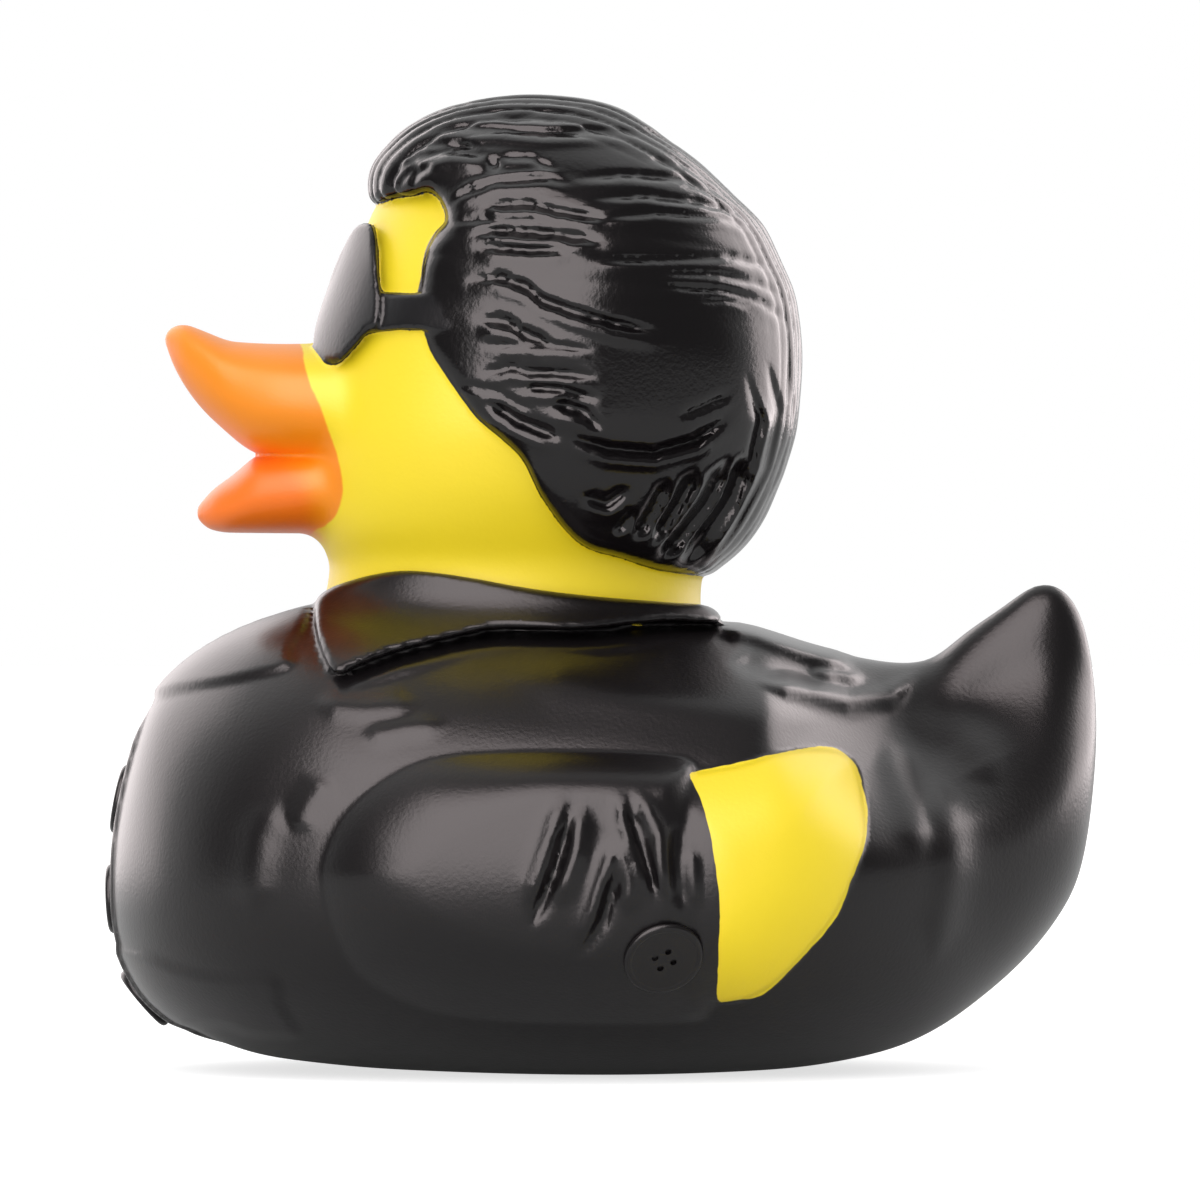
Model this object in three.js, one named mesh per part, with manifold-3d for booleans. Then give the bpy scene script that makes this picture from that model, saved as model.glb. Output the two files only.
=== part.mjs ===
// Rubber duck, dressed in a jacket and sunglasses: one blown vinyl piece, standing on its flat base.
// Millimetres, +Z up, -X towards the bill, -Y to the duck's left side. Origin: centre of the base.

import * as THREE from 'three';
import { LoftGeometry } from 'three/addons/geometries/LoftGeometry.js';
import { mergeVertices } from 'three/addons/utils/BufferGeometryUtils.js';
import Module from 'manifold-3d';

// Driving dimensions of the body
const chestX = -44.86;
const tailX = 45.6;
const bodyWidth = 73;
const shoulderHeight = 43.6;
const tailHeight = 45.1;
const tailEndHeight = 33;
const saddleHeight = 37.4;
const chestHeight = 17.2;
const girthHeight = 18.5;
const baseDip = 0.9;

// Driving dimensions of the head and the hair, heights measured up from the shoulders
const neckSink = 5.6;
const headHeight = 42.8;
const headFront = -27.2;
const headBack = 16.8;
const headWidth = 42.6;
const crownX = -4;
const hairSideLayer = 1.9;
const hairBackLayer = 1.8;
const hairTopLayer = 3.6;
const hairFront = -21.7;
const napeHeight = 1;
const foreheadHeight = 36;
const templeX = -15;
const strandCount = 19;
const strandDepth = 1.1;
const napeGrooveDepth = 0.9;

// Driving dimensions of the bill
const billTipX = -40.3;
const billRootX = -22;
const billTopHeight = 25.1;
const mouthCornerX = -31.5;
const mouthCornerHeight = 13.1;
const upperBillWidth = 24;
const lowerBillTipX = -37.3;
const lowerBillTipHeight = 7.7;
const lowerBillBottom = 5.8;
const lowerBillWidth = 19;
const billRootLayer = 0.8;

// Driving dimensions of the sunglasses
const lensTop = 34.4;
const lensBottom = 21.1;
const lensThickness = 1.5;
const lensOuterY = 17.5;
const lensBackX = -20.5;
const noseGap = 2.2;
const bridgeHeight = 2.4;
const armHeight = 2.9;
const armCentre = 26.1;
const armBackX = -16.2;
const armThickness = 0.8;

// Driving dimensions of the jacket
const collarTop = 2.5;
const collarFrontX = -26.2;
const collarBackX = 10;
const collarPointX = -24;
const collarPointHeight = -8;
const collarLayer = 1.2;
const lapelLayer = 0.8;
const lapelTip = -9.7;
const lapelSpread = 8;
const hemTop = 11;
const hemBackX = -28.2;
const hemLayer = 0.5;
const sleeveFrontX = -25.8;
const cuffX = 9.2;
const wingTipX = 24.4;
const sleeveTop = 29;
const sleeveBottom = 4.6;
const sleeveLayer = 3.6;
const wingTipLayer = 2.8;
const cuffOverlap = 3;
const foldDepth = 0.7;

// Driving dimensions of the buttons
const frontButtonDiameter = 6.2;
const frontButtonTop = 24.9;
const frontButtonPitch = 9.2;
const frontButtonCount = 3;
const frontButtonY = 2.4;
const cuffButtonDiameter = 7.4;
const cuffButtonX = 5.7;
const cuffButtonHeight = 10.3;
const buttonLayer = 0.8;
const buttonRim = 0.35;
const buttonRoot = 1.6;

// Mesh fineness
const hullRings = 24;
const hullSides = 28;
const headRings = 14;
const headSides = 26;
const hairRings = 32;
const hairSides = 56;
const layerRings = 7;
const wingSides = 30;
const buttonSides = 16;

const weldDistance = 1e-4;
const napeFan = 0.34;
const crownFade = 8;

const wasm = await Module();
wasm.setup();

// A smooth curve through [place, value] pairs that never overshoots them.
function profile(points) {
  const place = points.map((p) => p[0]);
  const value = points.map((p) => p[1]);
  const slope = place.slice(1).map((p, i) => (value[i + 1] - value[i]) / (p - place[i]));
  const tangent = value.map((_, i) => {
    if (i === 0) return slope[0];
    if (i === value.length - 1) return slope[i - 1];
    const before = slope[i - 1];
    const after = slope[i];
    return before * after > 0 ? (2 * before * after) / (before + after) : 0;
  });
  return (at) => {
    const x = THREE.MathUtils.clamp(at, place[0], place[place.length - 1]);
    let i = place.findIndex((p) => p >= x) - 1;
    i = Math.max(i, 0);
    const span = place[i + 1] - place[i];
    const s = (x - place[i]) / span;
    const rise = s * s * (3 - 2 * s);
    const start = s * (1 - s) * (1 - s) * span;
    const end = s * s * (s - 1) * span;
    return value[i] * (1 - rise) + value[i + 1] * rise + tangent[i] * start + tangent[i + 1] * end;
  };
}

// The same, read by an angle that runs from 0 at the front end to PI at the rear end, so that both ends are round.
function roundEnded(points) {
  const curve = profile(points.map(([share, value]) => [Math.acos(1 - 2 * share), value]));
  return (share) => curve(Math.acos(1 - 2 * THREE.MathUtils.clamp(share, 0, 1)));
}

// The same for a stack of rings that is round at its top end only.
function roundTopped(points) {
  const curve = profile(points.map(([share, value]) => [Math.asin(share), value]));
  return (share) => curve(Math.asin(THREE.MathUtils.clamp(share, 0, 1)));
}

function solid(geometry) {
  const bare = new THREE.BufferGeometry();
  bare.setAttribute('position', geometry.attributes.position);
  bare.setIndex(geometry.index);
  const merged = mergeVertices(bare, weldDistance);
  const kept = [];
  for (let i = 0; i < merged.index.count; i += 3) {
    const [a, b, c] = [0, 1, 2].map((k) => merged.index.getX(i + k));
    if (a !== b && b !== c && a !== c) kept.push(a, b, c);
  }
  const vertProperties = new Float32Array(merged.attributes.position.array);
  const triVerts = new Uint32Array(kept);
  return new wasm.Manifold(new wasm.Mesh({ numProp: 3, vertProperties, triVerts }));
}

function geometryOf(manifold) {
  const mesh = manifold.getMesh();
  const geometry = new THREE.BufferGeometry();
  geometry.setAttribute('position', new THREE.Float32BufferAttribute(mesh.vertProperties, 3));
  geometry.setIndex(Array.from(mesh.triVerts));
  return geometry;
}

// An outline drawn in the X-Z plane, made a solid right through the duck from side to side.
function throughSides(points, halfDepth) {
  const shape = new THREE.Shape(points.map(([x, z]) => new THREE.Vector2(x, z)));
  const geometry = new THREE.ExtrudeGeometry(shape, { depth: 2 * halfDepth, bevelEnabled: false });
  geometry.rotateX(Math.PI / 2);
  geometry.translate(0, halfDepth, 0);
  return solid(geometry);
}

// An outline drawn in the Y-Z plane, made a solid along X.
function throughFront(points, fromX, toX) {
  const shape = new THREE.Shape(points.map(([y, z]) => new THREE.Vector2(y, z)));
  const geometry = new THREE.ExtrudeGeometry(shape, { depth: toX - fromX, bevelEnabled: false });
  geometry.applyMatrix4(new THREE.Matrix4().makeBasis(
    new THREE.Vector3(0, 1, 0),
    new THREE.Vector3(0, 0, 1),
    new THREE.Vector3(1, 0, 0),
  ));
  geometry.translate(fromX, 0, 0);
  return solid(geometry);
}

function mirrored(points) {
  return points.map(([y, z]) => [-y, z]).reverse();
}

// Body: sections across X, from the chest to the tail

const bodyLength = tailX - chestX;
const alongBody = (x) => (x - chestX) / bodyLength;
const backLine = roundEnded([
  [0, chestHeight], [0.004, chestHeight + 5.2], [0.017, chestHeight + 10.8], [0.03, shoulderHeight - 11.6],
  [0.045, shoulderHeight - 8.8], [0.07, shoulderHeight - 6.4], [0.11, shoulderHeight - 3.8],
  [0.165, shoulderHeight - 1.6], [0.22, shoulderHeight - 0.4], [0.36, shoulderHeight],
  [0.5, shoulderHeight - 0.8], [0.628, shoulderHeight - 2.6], [0.67, saddleHeight + 2.7],
  [0.709, saddleHeight + 1.5], [0.757, saddleHeight + 0.6], [0.8, saddleHeight], [0.829, saddleHeight + 0.1],
  [0.86, tailHeight - 5.2], [0.882, tailHeight - 3.8], [0.915, tailHeight - 1.7], [0.933, tailHeight - 0.4],
  [0.948, tailHeight], [0.964, tailHeight - 0.5], [0.977, tailHeight - 1.7], [0.988, tailHeight - 4],
  [0.995, tailHeight - 7.1], [1, tailEndHeight],
]);
const bellyLine = roundEnded([
  [0, 1], [0.004, 0.733], [0.018, 0.535], [0.037, 0.384], [0.064, 0.273], [0.107, 0.163], [0.152, 0.087],
  [0.207, 0.047], [0.311, 0],
].map(([share, part]) => [share, part * chestHeight]).concat([
  [0.5, -baseDip], [0.657, 0],
], [
  [0.722, 0.021], [0.772, 0.048], [0.8, 0.07], [0.848, 0.136], [0.878, 0.197], [0.909, 0.267], [0.938, 0.348],
  [0.962, 0.436], [0.979, 0.521], [0.989, 0.63], [0.995, 0.758], [1, 1],
].map(([share, part]) => [share, part * tailEndHeight])));
const girthLine = roundEnded([
  [0, chestHeight], [0.1, girthHeight - 0.4], [0.5, girthHeight], [0.75, girthHeight + 1],
  [0.9, girthHeight + 3], [0.97, girthHeight + 7], [1, tailEndHeight],
]);
const halfWidthLine = roundEnded([
  [0, 0], [0.02, 0.34], [0.055, 0.55], [0.1, 0.7], [0.165, 0.83], [0.25, 0.93], [0.36, 0.985], [0.5, 1],
  [0.62, 0.965], [0.72, 0.87], [0.81, 0.7], [0.88, 0.51], [0.935, 0.37], [0.97, 0.26], [0.99, 0.15], [1, 0],
].map(([share, part]) => [share, part * bodyWidth / 2]));
const tailPinch = profile([[0.66, 0], [0.8, 0.5], [0.9, 0.62], [1, 0.5]]);
const bellyPower = 2.3;

function pinchAt(share, u) {
  return u > 0 ? 1 - tailPinch(share) * THREE.MathUtils.smoothstep(u, 0, 0.75) : 1;
}

// Half the body's width at a place in its side view, or 0 outside it.
function flankY(x, z, layer = 0) {
  const share = alongBody(x);
  if (share <= 0 || share >= 1) return 0;
  const middle = girthLine(share);
  const reach = (z > middle ? backLine(share) - middle : middle - bellyLine(share)) + layer;
  const u = (z - middle) / reach;
  if (Math.abs(u) >= 1) return 0;
  const power = u > 0 ? 2 : bellyPower;
  return (halfWidthLine(share) + layer) * pinchAt(share, u) * (1 - Math.abs(u) ** power) ** (1 / power);
}

// The front of the body at a place in its front view.
function chestXAt(y, z) {
  let outside = chestX;
  let inside = 0;
  for (let i = 0; i < 30; i += 1) {
    const x = (outside + inside) / 2;
    if (flankY(x, z) > Math.abs(y)) inside = x;
    else outside = x;
  }
  return inside;
}

function hull(layer = 0) {
  const sections = [];
  for (let i = 0; i <= hullRings; i += 1) {
    const share = (1 - Math.cos(THREE.MathUtils.lerp(0.03, 0.97, i / hullRings) * Math.PI)) / 2;
    const x = chestX + share * bodyLength + (2 * share - 1) * layer;
    const middle = girthLine(share);
    const ring = [];
    for (let k = 0; k < hullSides; k += 1) {
      const angle = (k / hullSides) * 2 * Math.PI;
      const power = Math.sin(angle) > 0 ? 2 : bellyPower;
      const u = Math.sign(Math.sin(angle)) * Math.abs(Math.sin(angle)) ** (2 / power);
      const across = Math.sign(Math.cos(angle)) * Math.abs(Math.cos(angle)) ** (2 / power);
      const reach = (u > 0 ? backLine(share) - middle : middle - bellyLine(share)) + layer;
      const half = (halfWidthLine(share) + layer) * pinchAt(share, u);
      ring.push(new THREE.Vector3(x, across * half, middle + u * reach));
    }
    sections.push(ring);
  }
  return solid(new LoftGeometry(sections, { capStart: true, capEnd: true }));
}

// Head, hair and collar: level rings between a front line, a rear line and a half width

function stack(lines, fromZ, toZ, rings, sides, groove = () => 0) {
  const sections = [];
  for (let i = 0; i <= rings; i += 1) {
    const share = Math.sin(THREE.MathUtils.lerp(0, 0.97, i / rings) * Math.PI / 2);
    const z = fromZ + share * (toZ - fromZ);
    const front = lines.front(share);
    const back = lines.back(share);
    const girth = Math.min(back - front, 2 * lines.half(share));
    const fade = girth / (girth + crownFade);
    const ring = [];
    for (let k = 0; k < sides; k += 1) {
      const angle = (k / sides) * 2 * Math.PI;
      const shrink = groove(angle, share) * fade;
      const half = (back - front) / 2 - shrink;
      ring.push(new THREE.Vector3(
        (front + back) / 2 + Math.cos(angle) * half,
        Math.sin(angle) * (lines.half(share) - shrink),
        z,
      ));
    }
    sections.push(ring);
  }
  return solid(new LoftGeometry(sections, { capStart: true, capEnd: true }));
}

const headFoot = shoulderHeight - neckSink;
const headTop = shoulderHeight + headHeight;
const headTall = headTop - headFoot;
const headLines = {
  front: roundTopped([
    [0, 1.7], [0.124, 1.7], [0.178, 2.4], [0.207, 1.6], [0.258, 0.4], [0.372, 0], [0.475, 0.4], [0.579, 1.4],
    [0.702, 3.4], [0.785, 4.9], [0.868, 6.6], [0.93, 10.2], [0.971, 15], [1, crownX - headFront],
  ].map(([share, inset]) => [share, headFront + inset])),
  back: roundTopped([
    [0, 7.2], [0.124, 7.7], [0.178, 7.2], [0.248, 5], [0.331, 2.6], [0.455, 0.6], [0.579, 0], [0.702, 0.8],
    [0.826, 4.2], [0.909, 8.6], [0.971, 14.8], [1, headBack - crownX],
  ].map(([share, inset]) => [share, headBack - inset])),
  half: roundTopped([
    [0, 0.78], [0.124, 0.75], [0.178, 0.75], [0.207, 0.79], [0.258, 0.86], [0.331, 0.94], [0.455, 1],
    [0.579, 1], [0.702, 0.94], [0.826, 0.76], [0.909, 0.55], [0.971, 0.29], [1, 0],
  ].map(([share, part]) => [share, part * headWidth / 2])),
};

// Outlines on the head are drawn with their heights measured up from the shoulders.
function onHead(points) {
  return points.map(([x, height]) => [x, shoulderHeight + height]);
}

// The head grown outwards by a layer, between two heights.
function headLayer(layer, fromHeight, toHeight) {
  const sections = [];
  for (let i = 0; i <= layerRings; i += 1) {
    const z = shoulderHeight + THREE.MathUtils.lerp(fromHeight, toHeight, i / layerRings);
    const share = (z - headFoot) / headTall;
    const front = headLines.front(share) - layer;
    const back = headLines.back(share) + layer;
    const half = headLines.half(share) + layer;
    const ring = [];
    for (let k = 0; k < headSides; k += 1) {
      const angle = (k / headSides) * 2 * Math.PI;
      ring.push(new THREE.Vector3(
        (front + back) / 2 + (Math.cos(angle) * (back - front)) / 2,
        Math.sin(angle) * half,
        z,
      ));
    }
    sections.push(ring);
  }
  return solid(new LoftGeometry(sections, { capStart: true, capEnd: true }));
}

const hairFoot = shoulderHeight + napeHeight;
const hairTop = headTop + hairTopLayer;
const hairTall = hairTop - hairFoot;
const hairBack = headBack + hairBackLayer;
const hairCrownX = crownX - 2.6;
const hairLines = {
  front: roundTopped([
    [0, 0], [0.34, -3], [0.69, -1], [0.78, 0.3], [0.813, 0], [0.855, 0.4], [0.89, 1.7], [0.923, 3.1],
    [0.954, 5.4], [0.976, 7.7], [0.991, 10.5], [1, hairCrownX - hairFront],
  ].map(([share, inset]) => [share, hairFront + inset])),
  back: roundTopped([
    [0, 9.6], [0.018, 8.9], [0.057, 6.3], [0.104, 4.4], [0.176, 2.6], [0.256, 1.2], [0.339, 0.3], [0.449, 0],
    [0.586, 0.6], [0.659, 2], [0.733, 3.5], [0.795, 6.3], [0.861, 9.4], [0.927, 13.7], [0.974, 17.1],
    [1, hairBack - hairCrownX],
  ].map(([share, inset]) => [share, hairBack - inset])),
  half: roundTopped([
    [0, 0.72], [0.119, 0.85], [0.207, 0.94], [0.339, 1], [0.471, 1], [0.604, 0.95], [0.736, 0.83],
    [0.824, 0.69], [0.89, 0.54], [0.934, 0.41], [0.978, 0.22], [1, 0],
  ].map(([share, part]) => [share, part * (headWidth / 2 + hairSideLayer)])),
};

// Strands run back over the head, nearly level at the sides, and fan downwards to points at the nape.
function strandGroove(angle, share) {
  const towardsBack = Math.cos(angle);
  const lean = THREE.MathUtils.smoothstep(towardsBack, -0.2, 0.9);
  const level = Math.asin(THREE.MathUtils.clamp(share, 0, 1));
  const phase = strandCount * (level * (1 - 0.55 * lean) + 0.16 * lean * Math.abs(angle - Math.PI));
  const crest = Math.abs(Math.sin(phase)) ** 0.7;
  const low = THREE.MathUtils.smoothstep(napeFan - share, 0, napeFan / 2);
  return (1 - crest) * (strandDepth + napeGrooveDepth * low * lean);
}

// From the forehead down past the temple and the end of the arm, then slanting back to the nape.
const hairline = [
  [templeX - 6.2, foreheadHeight - 0.2], [templeX - 5.1, foreheadHeight + 0.3], [templeX - 2.4, foreheadHeight + 0.8],
  [templeX - 0.7, foreheadHeight + 1.5], [templeX + 0.1, foreheadHeight - 0.1], [templeX + 0.7, foreheadHeight - 1.4],
  [templeX - 0.4, foreheadHeight - 2.7], [templeX - 1.2, foreheadHeight - 4.2], [templeX - 1.7, foreheadHeight - 6.8],
  [templeX - 2.5, foreheadHeight - 8.3], [templeX - 2.5, foreheadHeight - 10], [templeX - 1, foreheadHeight - 12.4],
  [templeX, foreheadHeight - 15.2], [templeX + 2.4, foreheadHeight - 18.5], [templeX + 4.6, foreheadHeight - 20.3],
  [templeX + 7.8, foreheadHeight - 23.4], [templeX + 9, foreheadHeight - 25.9], [templeX + 10.7, foreheadHeight - 28.6],
  [templeX + 12.9, foreheadHeight - 30.9], [templeX + 16.5, foreheadHeight - 32.2], [templeX + 20, foreheadHeight - 33.5],
  [templeX + 23.8, foreheadHeight - 34.7],
];

function hair() {
  const shell = stack(hairLines, hairFoot, hairTop, hairRings, hairSides, strandGroove);
  const clear = 3;
  const high = hairTop + clear - shoulderHeight;
  const outline = [
    ...hairline,
    [hairBack + clear, napeHeight],
    [hairBack + clear, high],
    [hairFront - clear, high],
    [hairFront - clear, foreheadHeight + 0.2],
  ];
  return shell.intersect(throughSides(onHead(outline), headWidth));
}

// Bill: two lofts along X, round in plan, open towards the front

function billLoft(tipX, rootX, topLine, lowLine, halfLine, squareness) {
  const rings = 12;
  const sides = 20;
  const sections = [];
  for (let i = 0; i <= rings; i += 1) {
    const share = 1 - Math.cos((THREE.MathUtils.lerp(0.05, 1, i / rings) * Math.PI) / 2);
    const x = THREE.MathUtils.lerp(tipX, rootX, share);
    const top = shoulderHeight + topLine(x);
    const low = shoulderHeight + lowLine(x);
    const ring = [];
    for (let k = 0; k < sides; k += 1) {
      const angle = (k / sides) * 2 * Math.PI;
      const across = Math.sign(Math.cos(angle)) * Math.abs(Math.cos(angle)) ** (2 / squareness);
      const up = Math.sign(Math.sin(angle)) * Math.abs(Math.sin(angle)) ** (2 / squareness);
      ring.push(new THREE.Vector3(x, across * halfLine(share), (top + low) / 2 + (up * (top - low)) / 2));
    }
    sections.push(ring);
  }
  return solid(new LoftGeometry(sections, { capStart: true, capEnd: true }));
}

function upperBill() {
  const top = profile([
    [billTipX, billTopHeight - 1.2], [billTipX + 0.5, billTopHeight - 0.3], [billTipX + 1.8, billTopHeight],
    [billTipX + 3.6, billTopHeight - 0.6], [billTipX + 6.5, billTopHeight - 1.6],
    [billTipX + 11, billTopHeight - 1.8], [billRootX, billTopHeight - 1.5],
  ]);
  const low = profile([
    [billTipX, billTopHeight - 1.4], [billTipX + 0.8, billTopHeight - 3.7], [billTipX + 2.6, billTopHeight - 6.7],
    [billTipX + 4.7, billTopHeight - 9], [mouthCornerX, mouthCornerHeight], [billRootX, mouthCornerHeight - 2],
  ]);
  const half = roundTopped([
    [0, 0.12], [0.1, 0.4], [0.3, 0.72], [0.6, 0.95], [0.85, 1], [1, 0.92],
  ].map(([share, part]) => [share, part * upperBillWidth / 2]));
  return billLoft(billTipX, billRootX, top, low, half, 2.3);
}

function lowerBill() {
  const top = profile([
    [lowerBillTipX, lowerBillTipHeight + 0.5], [lowerBillTipX + 1.4, lowerBillTipHeight + 2.1],
    [lowerBillTipX + 3.3, lowerBillTipHeight + 3.5],
    [mouthCornerX, mouthCornerHeight], [billRootX, mouthCornerHeight + 2],
  ]);
  const low = profile([
    [lowerBillTipX, lowerBillTipHeight - 0.5], [lowerBillTipX + 1.2, lowerBillBottom + 0.4],
    [lowerBillTipX + 3, lowerBillBottom + 0.1], [billRootX, lowerBillBottom],
  ]);
  const half = roundTopped([
    [0, 0.15], [0.12, 0.5], [0.35, 0.8], [0.7, 1], [1, 1],
  ].map(([share, part]) => [share, part * lowerBillWidth / 2]));
  return billLoft(lowerBillTipX, billRootX, top, low, half, 2.4);
}

// Where the bill grows out of the face, it stands a little proud of the cheeks.
function billRoot() {
  const outline = [
    [headFront - 3, billTopHeight - 2], [headFront, billTopHeight - 1.8], [headFront + 0.8, billTopHeight - 5.7],
    [headFront + 1.9, billTopHeight - 8.7], [headFront + 2.9, billTopHeight - 11.5],
    [headFront + 3.3, lowerBillBottom + 4.6], [headFront + 3.1, lowerBillBottom + 2.2],
    [headFront + 1.8, lowerBillBottom + 0.7], [headFront, lowerBillBottom], [headFront - 3, lowerBillBottom],
  ];
  const layer = headLayer(billRootLayer, lowerBillBottom - 1, billTopHeight);
  return layer.intersect(throughSides(onHead(outline), headWidth));
}

// Sunglasses: the head grown by a layer, kept inside the lens and arm outlines

function sunglasses() {
  const layer = headLayer(lensThickness, lensBottom - 1, lensTop + 1);
  const tall = lensTop - lensBottom;
  const lens = [
    [noseGap, lensTop - 0.32 * tall], [noseGap + 1.2, lensTop - 0.1 * tall], [noseGap + 3.5, lensTop],
    [0.6 * lensOuterY, lensTop - 0.02 * tall], [0.86 * lensOuterY, lensTop - 0.12 * tall],
    [lensOuterY, lensTop - 0.4 * tall], [lensOuterY + 2, lensTop - 0.52 * tall],
    [lensOuterY + 2, lensTop - 0.78 * tall], [0.9 * lensOuterY, lensBottom + 0.08 * tall],
    [0.72 * lensOuterY, lensBottom], [0.5 * lensOuterY, lensBottom + 0.02 * tall],
    [noseGap + 2.4, lensBottom + 0.16 * tall], [noseGap + 0.4, lensBottom + 0.4 * tall],
  ];
  const side = [
    [headFront - 5, lensTop + 0.4], [lensBackX - 0.6, lensTop], [lensBackX - 0.3, lensTop - 2],
    [lensBackX - 0.1, lensTop - 4], [lensBackX, lensTop - 6.5], [lensBackX + 0.5, armCentre + armHeight / 2],
    [lensBackX + 0.5, armCentre - armHeight / 2], [lensBackX - 0.5, armCentre - armHeight / 2 - 0.4],
    [lensBackX - 1.9, lensBottom + 2.2], [lensBackX - 3.7, lensBottom + 0.6],
    [lensBackX - 5.5, lensBottom - 0.2], [headFront - 5, lensBottom - 0.4],
  ];
  const sideCut = throughSides(onHead(side), headWidth);
  const left = throughFront(onHead(lens), headFront - 8, 0);
  const pane = left.add(throughFront(onHead(mirrored(lens)), headFront - 8, 0));
  const lenses = layer.intersect(sideCut).intersect(pane);
  const bridgeLow = lensTop - 0.42 * tall;
  const bridge = layer.intersect(throughFront(onHead([
    [-noseGap - 1, bridgeLow], [noseGap + 1, bridgeLow],
    [noseGap + 1, bridgeLow + bridgeHeight], [-noseGap - 1, bridgeLow + bridgeHeight],
  ]), headFront - 8, headFront + 8));
  const arm = [
    [lensBackX - 1, armCentre - armHeight / 2], [armBackX, armCentre - armHeight / 2],
    [armBackX, armCentre + armHeight / 2], [lensBackX - 1, armCentre + armHeight / 2],
  ];
  const arms = headLayer(armThickness, lensBottom, lensTop).intersect(throughSides(onHead(arm), headWidth));
  return lenses.add(bridge).add(arms);
}

// Jacket: the body grown by a layer, kept inside the outlines of the collar, lapels and hem

function collar() {
  const flare = profile([[0, 11.5], [0.33, 7.2], [0.67, 3.6], [1, 1]]);
  const neckHalf = headLines.half(neckSink / headTall);
  const ends = profile([[0, 4.4], [0.4, 2.6], [0.7, 1.2], [1, 0]]);
  const lines = {
    front: (share) => collarFrontX - ends(share),
    back: (share) => collarBackX + ends(share),
    half: (share) => neckHalf + flare(share),
  };
  const low = shoulderHeight + collarPointHeight - 2;
  const stand = stack(lines, low, shoulderHeight + collarTop + 0.1, layerRings, headSides);
  const outline = [
    [collarFrontX, collarTop - 2.4], [collarFrontX + 1.4, collarTop - 1.7], [collarFrontX + 3.4, collarTop - 0.9],
    [collarFrontX + 5.8, collarTop - 0.3], [collarFrontX + 8.3, collarTop], [collarFrontX + 10.8, collarTop - 0.2],
    [-11.8, collarTop - 0.8], [-6.8, collarTop - 1.7], [-1.2, collarTop - 2.4], [6, collarTop - 3],
    [collarBackX + 4, collarTop - 3.5], [collarBackX + 4, -2.6], [5.5, -2.9], [0.6, -3.9], [-4.4, -4],
    [-9.3, -4.2], [-14.3, -5.1], [-19.1, -6.4], [collarPointX + 2.4, collarPointHeight + 0.8],
    [collarPointX, collarPointHeight], [collarPointX - 0.3, collarPointHeight + 1.7],
    [collarPointX - 1.2, collarPointHeight + 4.4], [collarFrontX, -1],
  ];
  return stand.add(hull(collarLayer)).intersect(throughSides(onHead(outline), bodyWidth));
}

function lapels() {
  const outline = [
    [collarFrontX - 0.1, -0.8], [collarFrontX - 0.8, -2.6], [collarFrontX - 2.1, -4.6], [collarFrontX - 2, -6.5],
    [collarFrontX - 6.8, -7.9], [collarFrontX - 12.4, -8.8], [chestX - 1, lapelTip], [chestX - 1, -0.8],
  ];
  const opening = [[0, lapelTip], [lapelSpread, 2.4], [-lapelSpread, 2.4]];
  return hull(lapelLayer)
    .intersect(throughSides(onHead(outline), bodyWidth))
    .subtract(throughFront(onHead(opening), chestX - 5, 0));
}

function hem() {
  const outline = [
    [chestX - 1, hemTop + 0.3], [-39, hemTop - 1], [-35, hemTop - 1.9], [hemBackX - 0.3, hemTop - 1.9],
    [hemBackX + 1.5, 3.2], [hemBackX, 2.6], [-33, 3.2], [-37.5, 3.9], [chestX - 1, 3],
  ];
  return hull(hemLayer).intersect(throughSides(outline, bodyWidth));
}

// Sleeve and bare wing tip: pillows on the flank, each inside its own drawn outline, the tip coming out of the cuff

const sleeveOutline = [
  [sleeveFrontX, 17.2], [sleeveFrontX + 0.5, 20.5], [sleeveFrontX + 2.8, 24.2], [sleeveFrontX + 6.4, 27],
  [sleeveFrontX + 10.5, 28.6], [-8, sleeveTop], [2, sleeveTop], [cuffX - 1.2, sleeveTop - 0.6],
  [cuffX, sleeveTop - 2.4], [cuffX + 1.1, 20], [cuffX + 1.7, 14], [cuffX + 1.8, 8],
  [cuffX + 1, sleeveBottom + 0.8], [cuffX - 1.5, sleeveBottom], [-12, sleeveBottom + 0.4],
  [sleeveFrontX + 5, 7.5], [sleeveFrontX + 1.4, 12],
];

const wingTipOutline = [
  [cuffX - cuffOverlap, 8], [cuffX - cuffOverlap, sleeveTop - 2.6], [cuffX, sleeveTop - 1.4],
  [cuffX + 4.5, sleeveTop - 0.8], [cuffX + 9.5, sleeveTop + 0.5], [cuffX + 12.2, sleeveTop + 0.5],
  [wingTipX - 1, sleeveTop - 0.8], [wingTipX - 0.2, sleeveTop - 3.2], [wingTipX, 22.6],
  [wingTipX - 0.4, 19], [wingTipX - 2.4, 15.2], [wingTipX - 5.4, 11.2], [wingTipX - 8.6, 7.8],
  [wingTipX - 11.4, 6.4], [cuffX + 1.6, 6],
];

// Soft folds run up from the cuff towards the elbow.
const folds = [
  [-6.2, 14.5, -1, 23.8, 1],
  [-1.8, 11, 1.2, 21, 1.1],
  [1.1, 26.5, 4.1, 16, 1],
  [3, 25, 5.9, 16.5, 0.9],
];

function foldAt(x, z) {
  return folds.reduce((sum, [x0, z0, x1, z1, wide]) => {
    const line = new THREE.Line3(new THREE.Vector3(x0, 0, z0), new THREE.Vector3(x1, 0, z1));
    const here = new THREE.Vector3(x, 0, z);
    const near = line.closestPointToPoint(here, true, new THREE.Vector3());
    return sum + foldDepth * Math.exp(-((near.distanceTo(here) / wide) ** 2));
  }, 0);
}

function middleOf(outline) {
  const box = new THREE.Box2().setFromPoints(outline.map(([x, z]) => new THREE.Vector2(x, z)));
  return box.getCenter(new THREE.Vector2());
}

// How far a pillow stands off the flank, a share of the way from its middle (0) to its outline (1).
function swell(layer, part) {
  return layer * Math.sqrt(Math.max(0, 1 - part ** 3));
}

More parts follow.
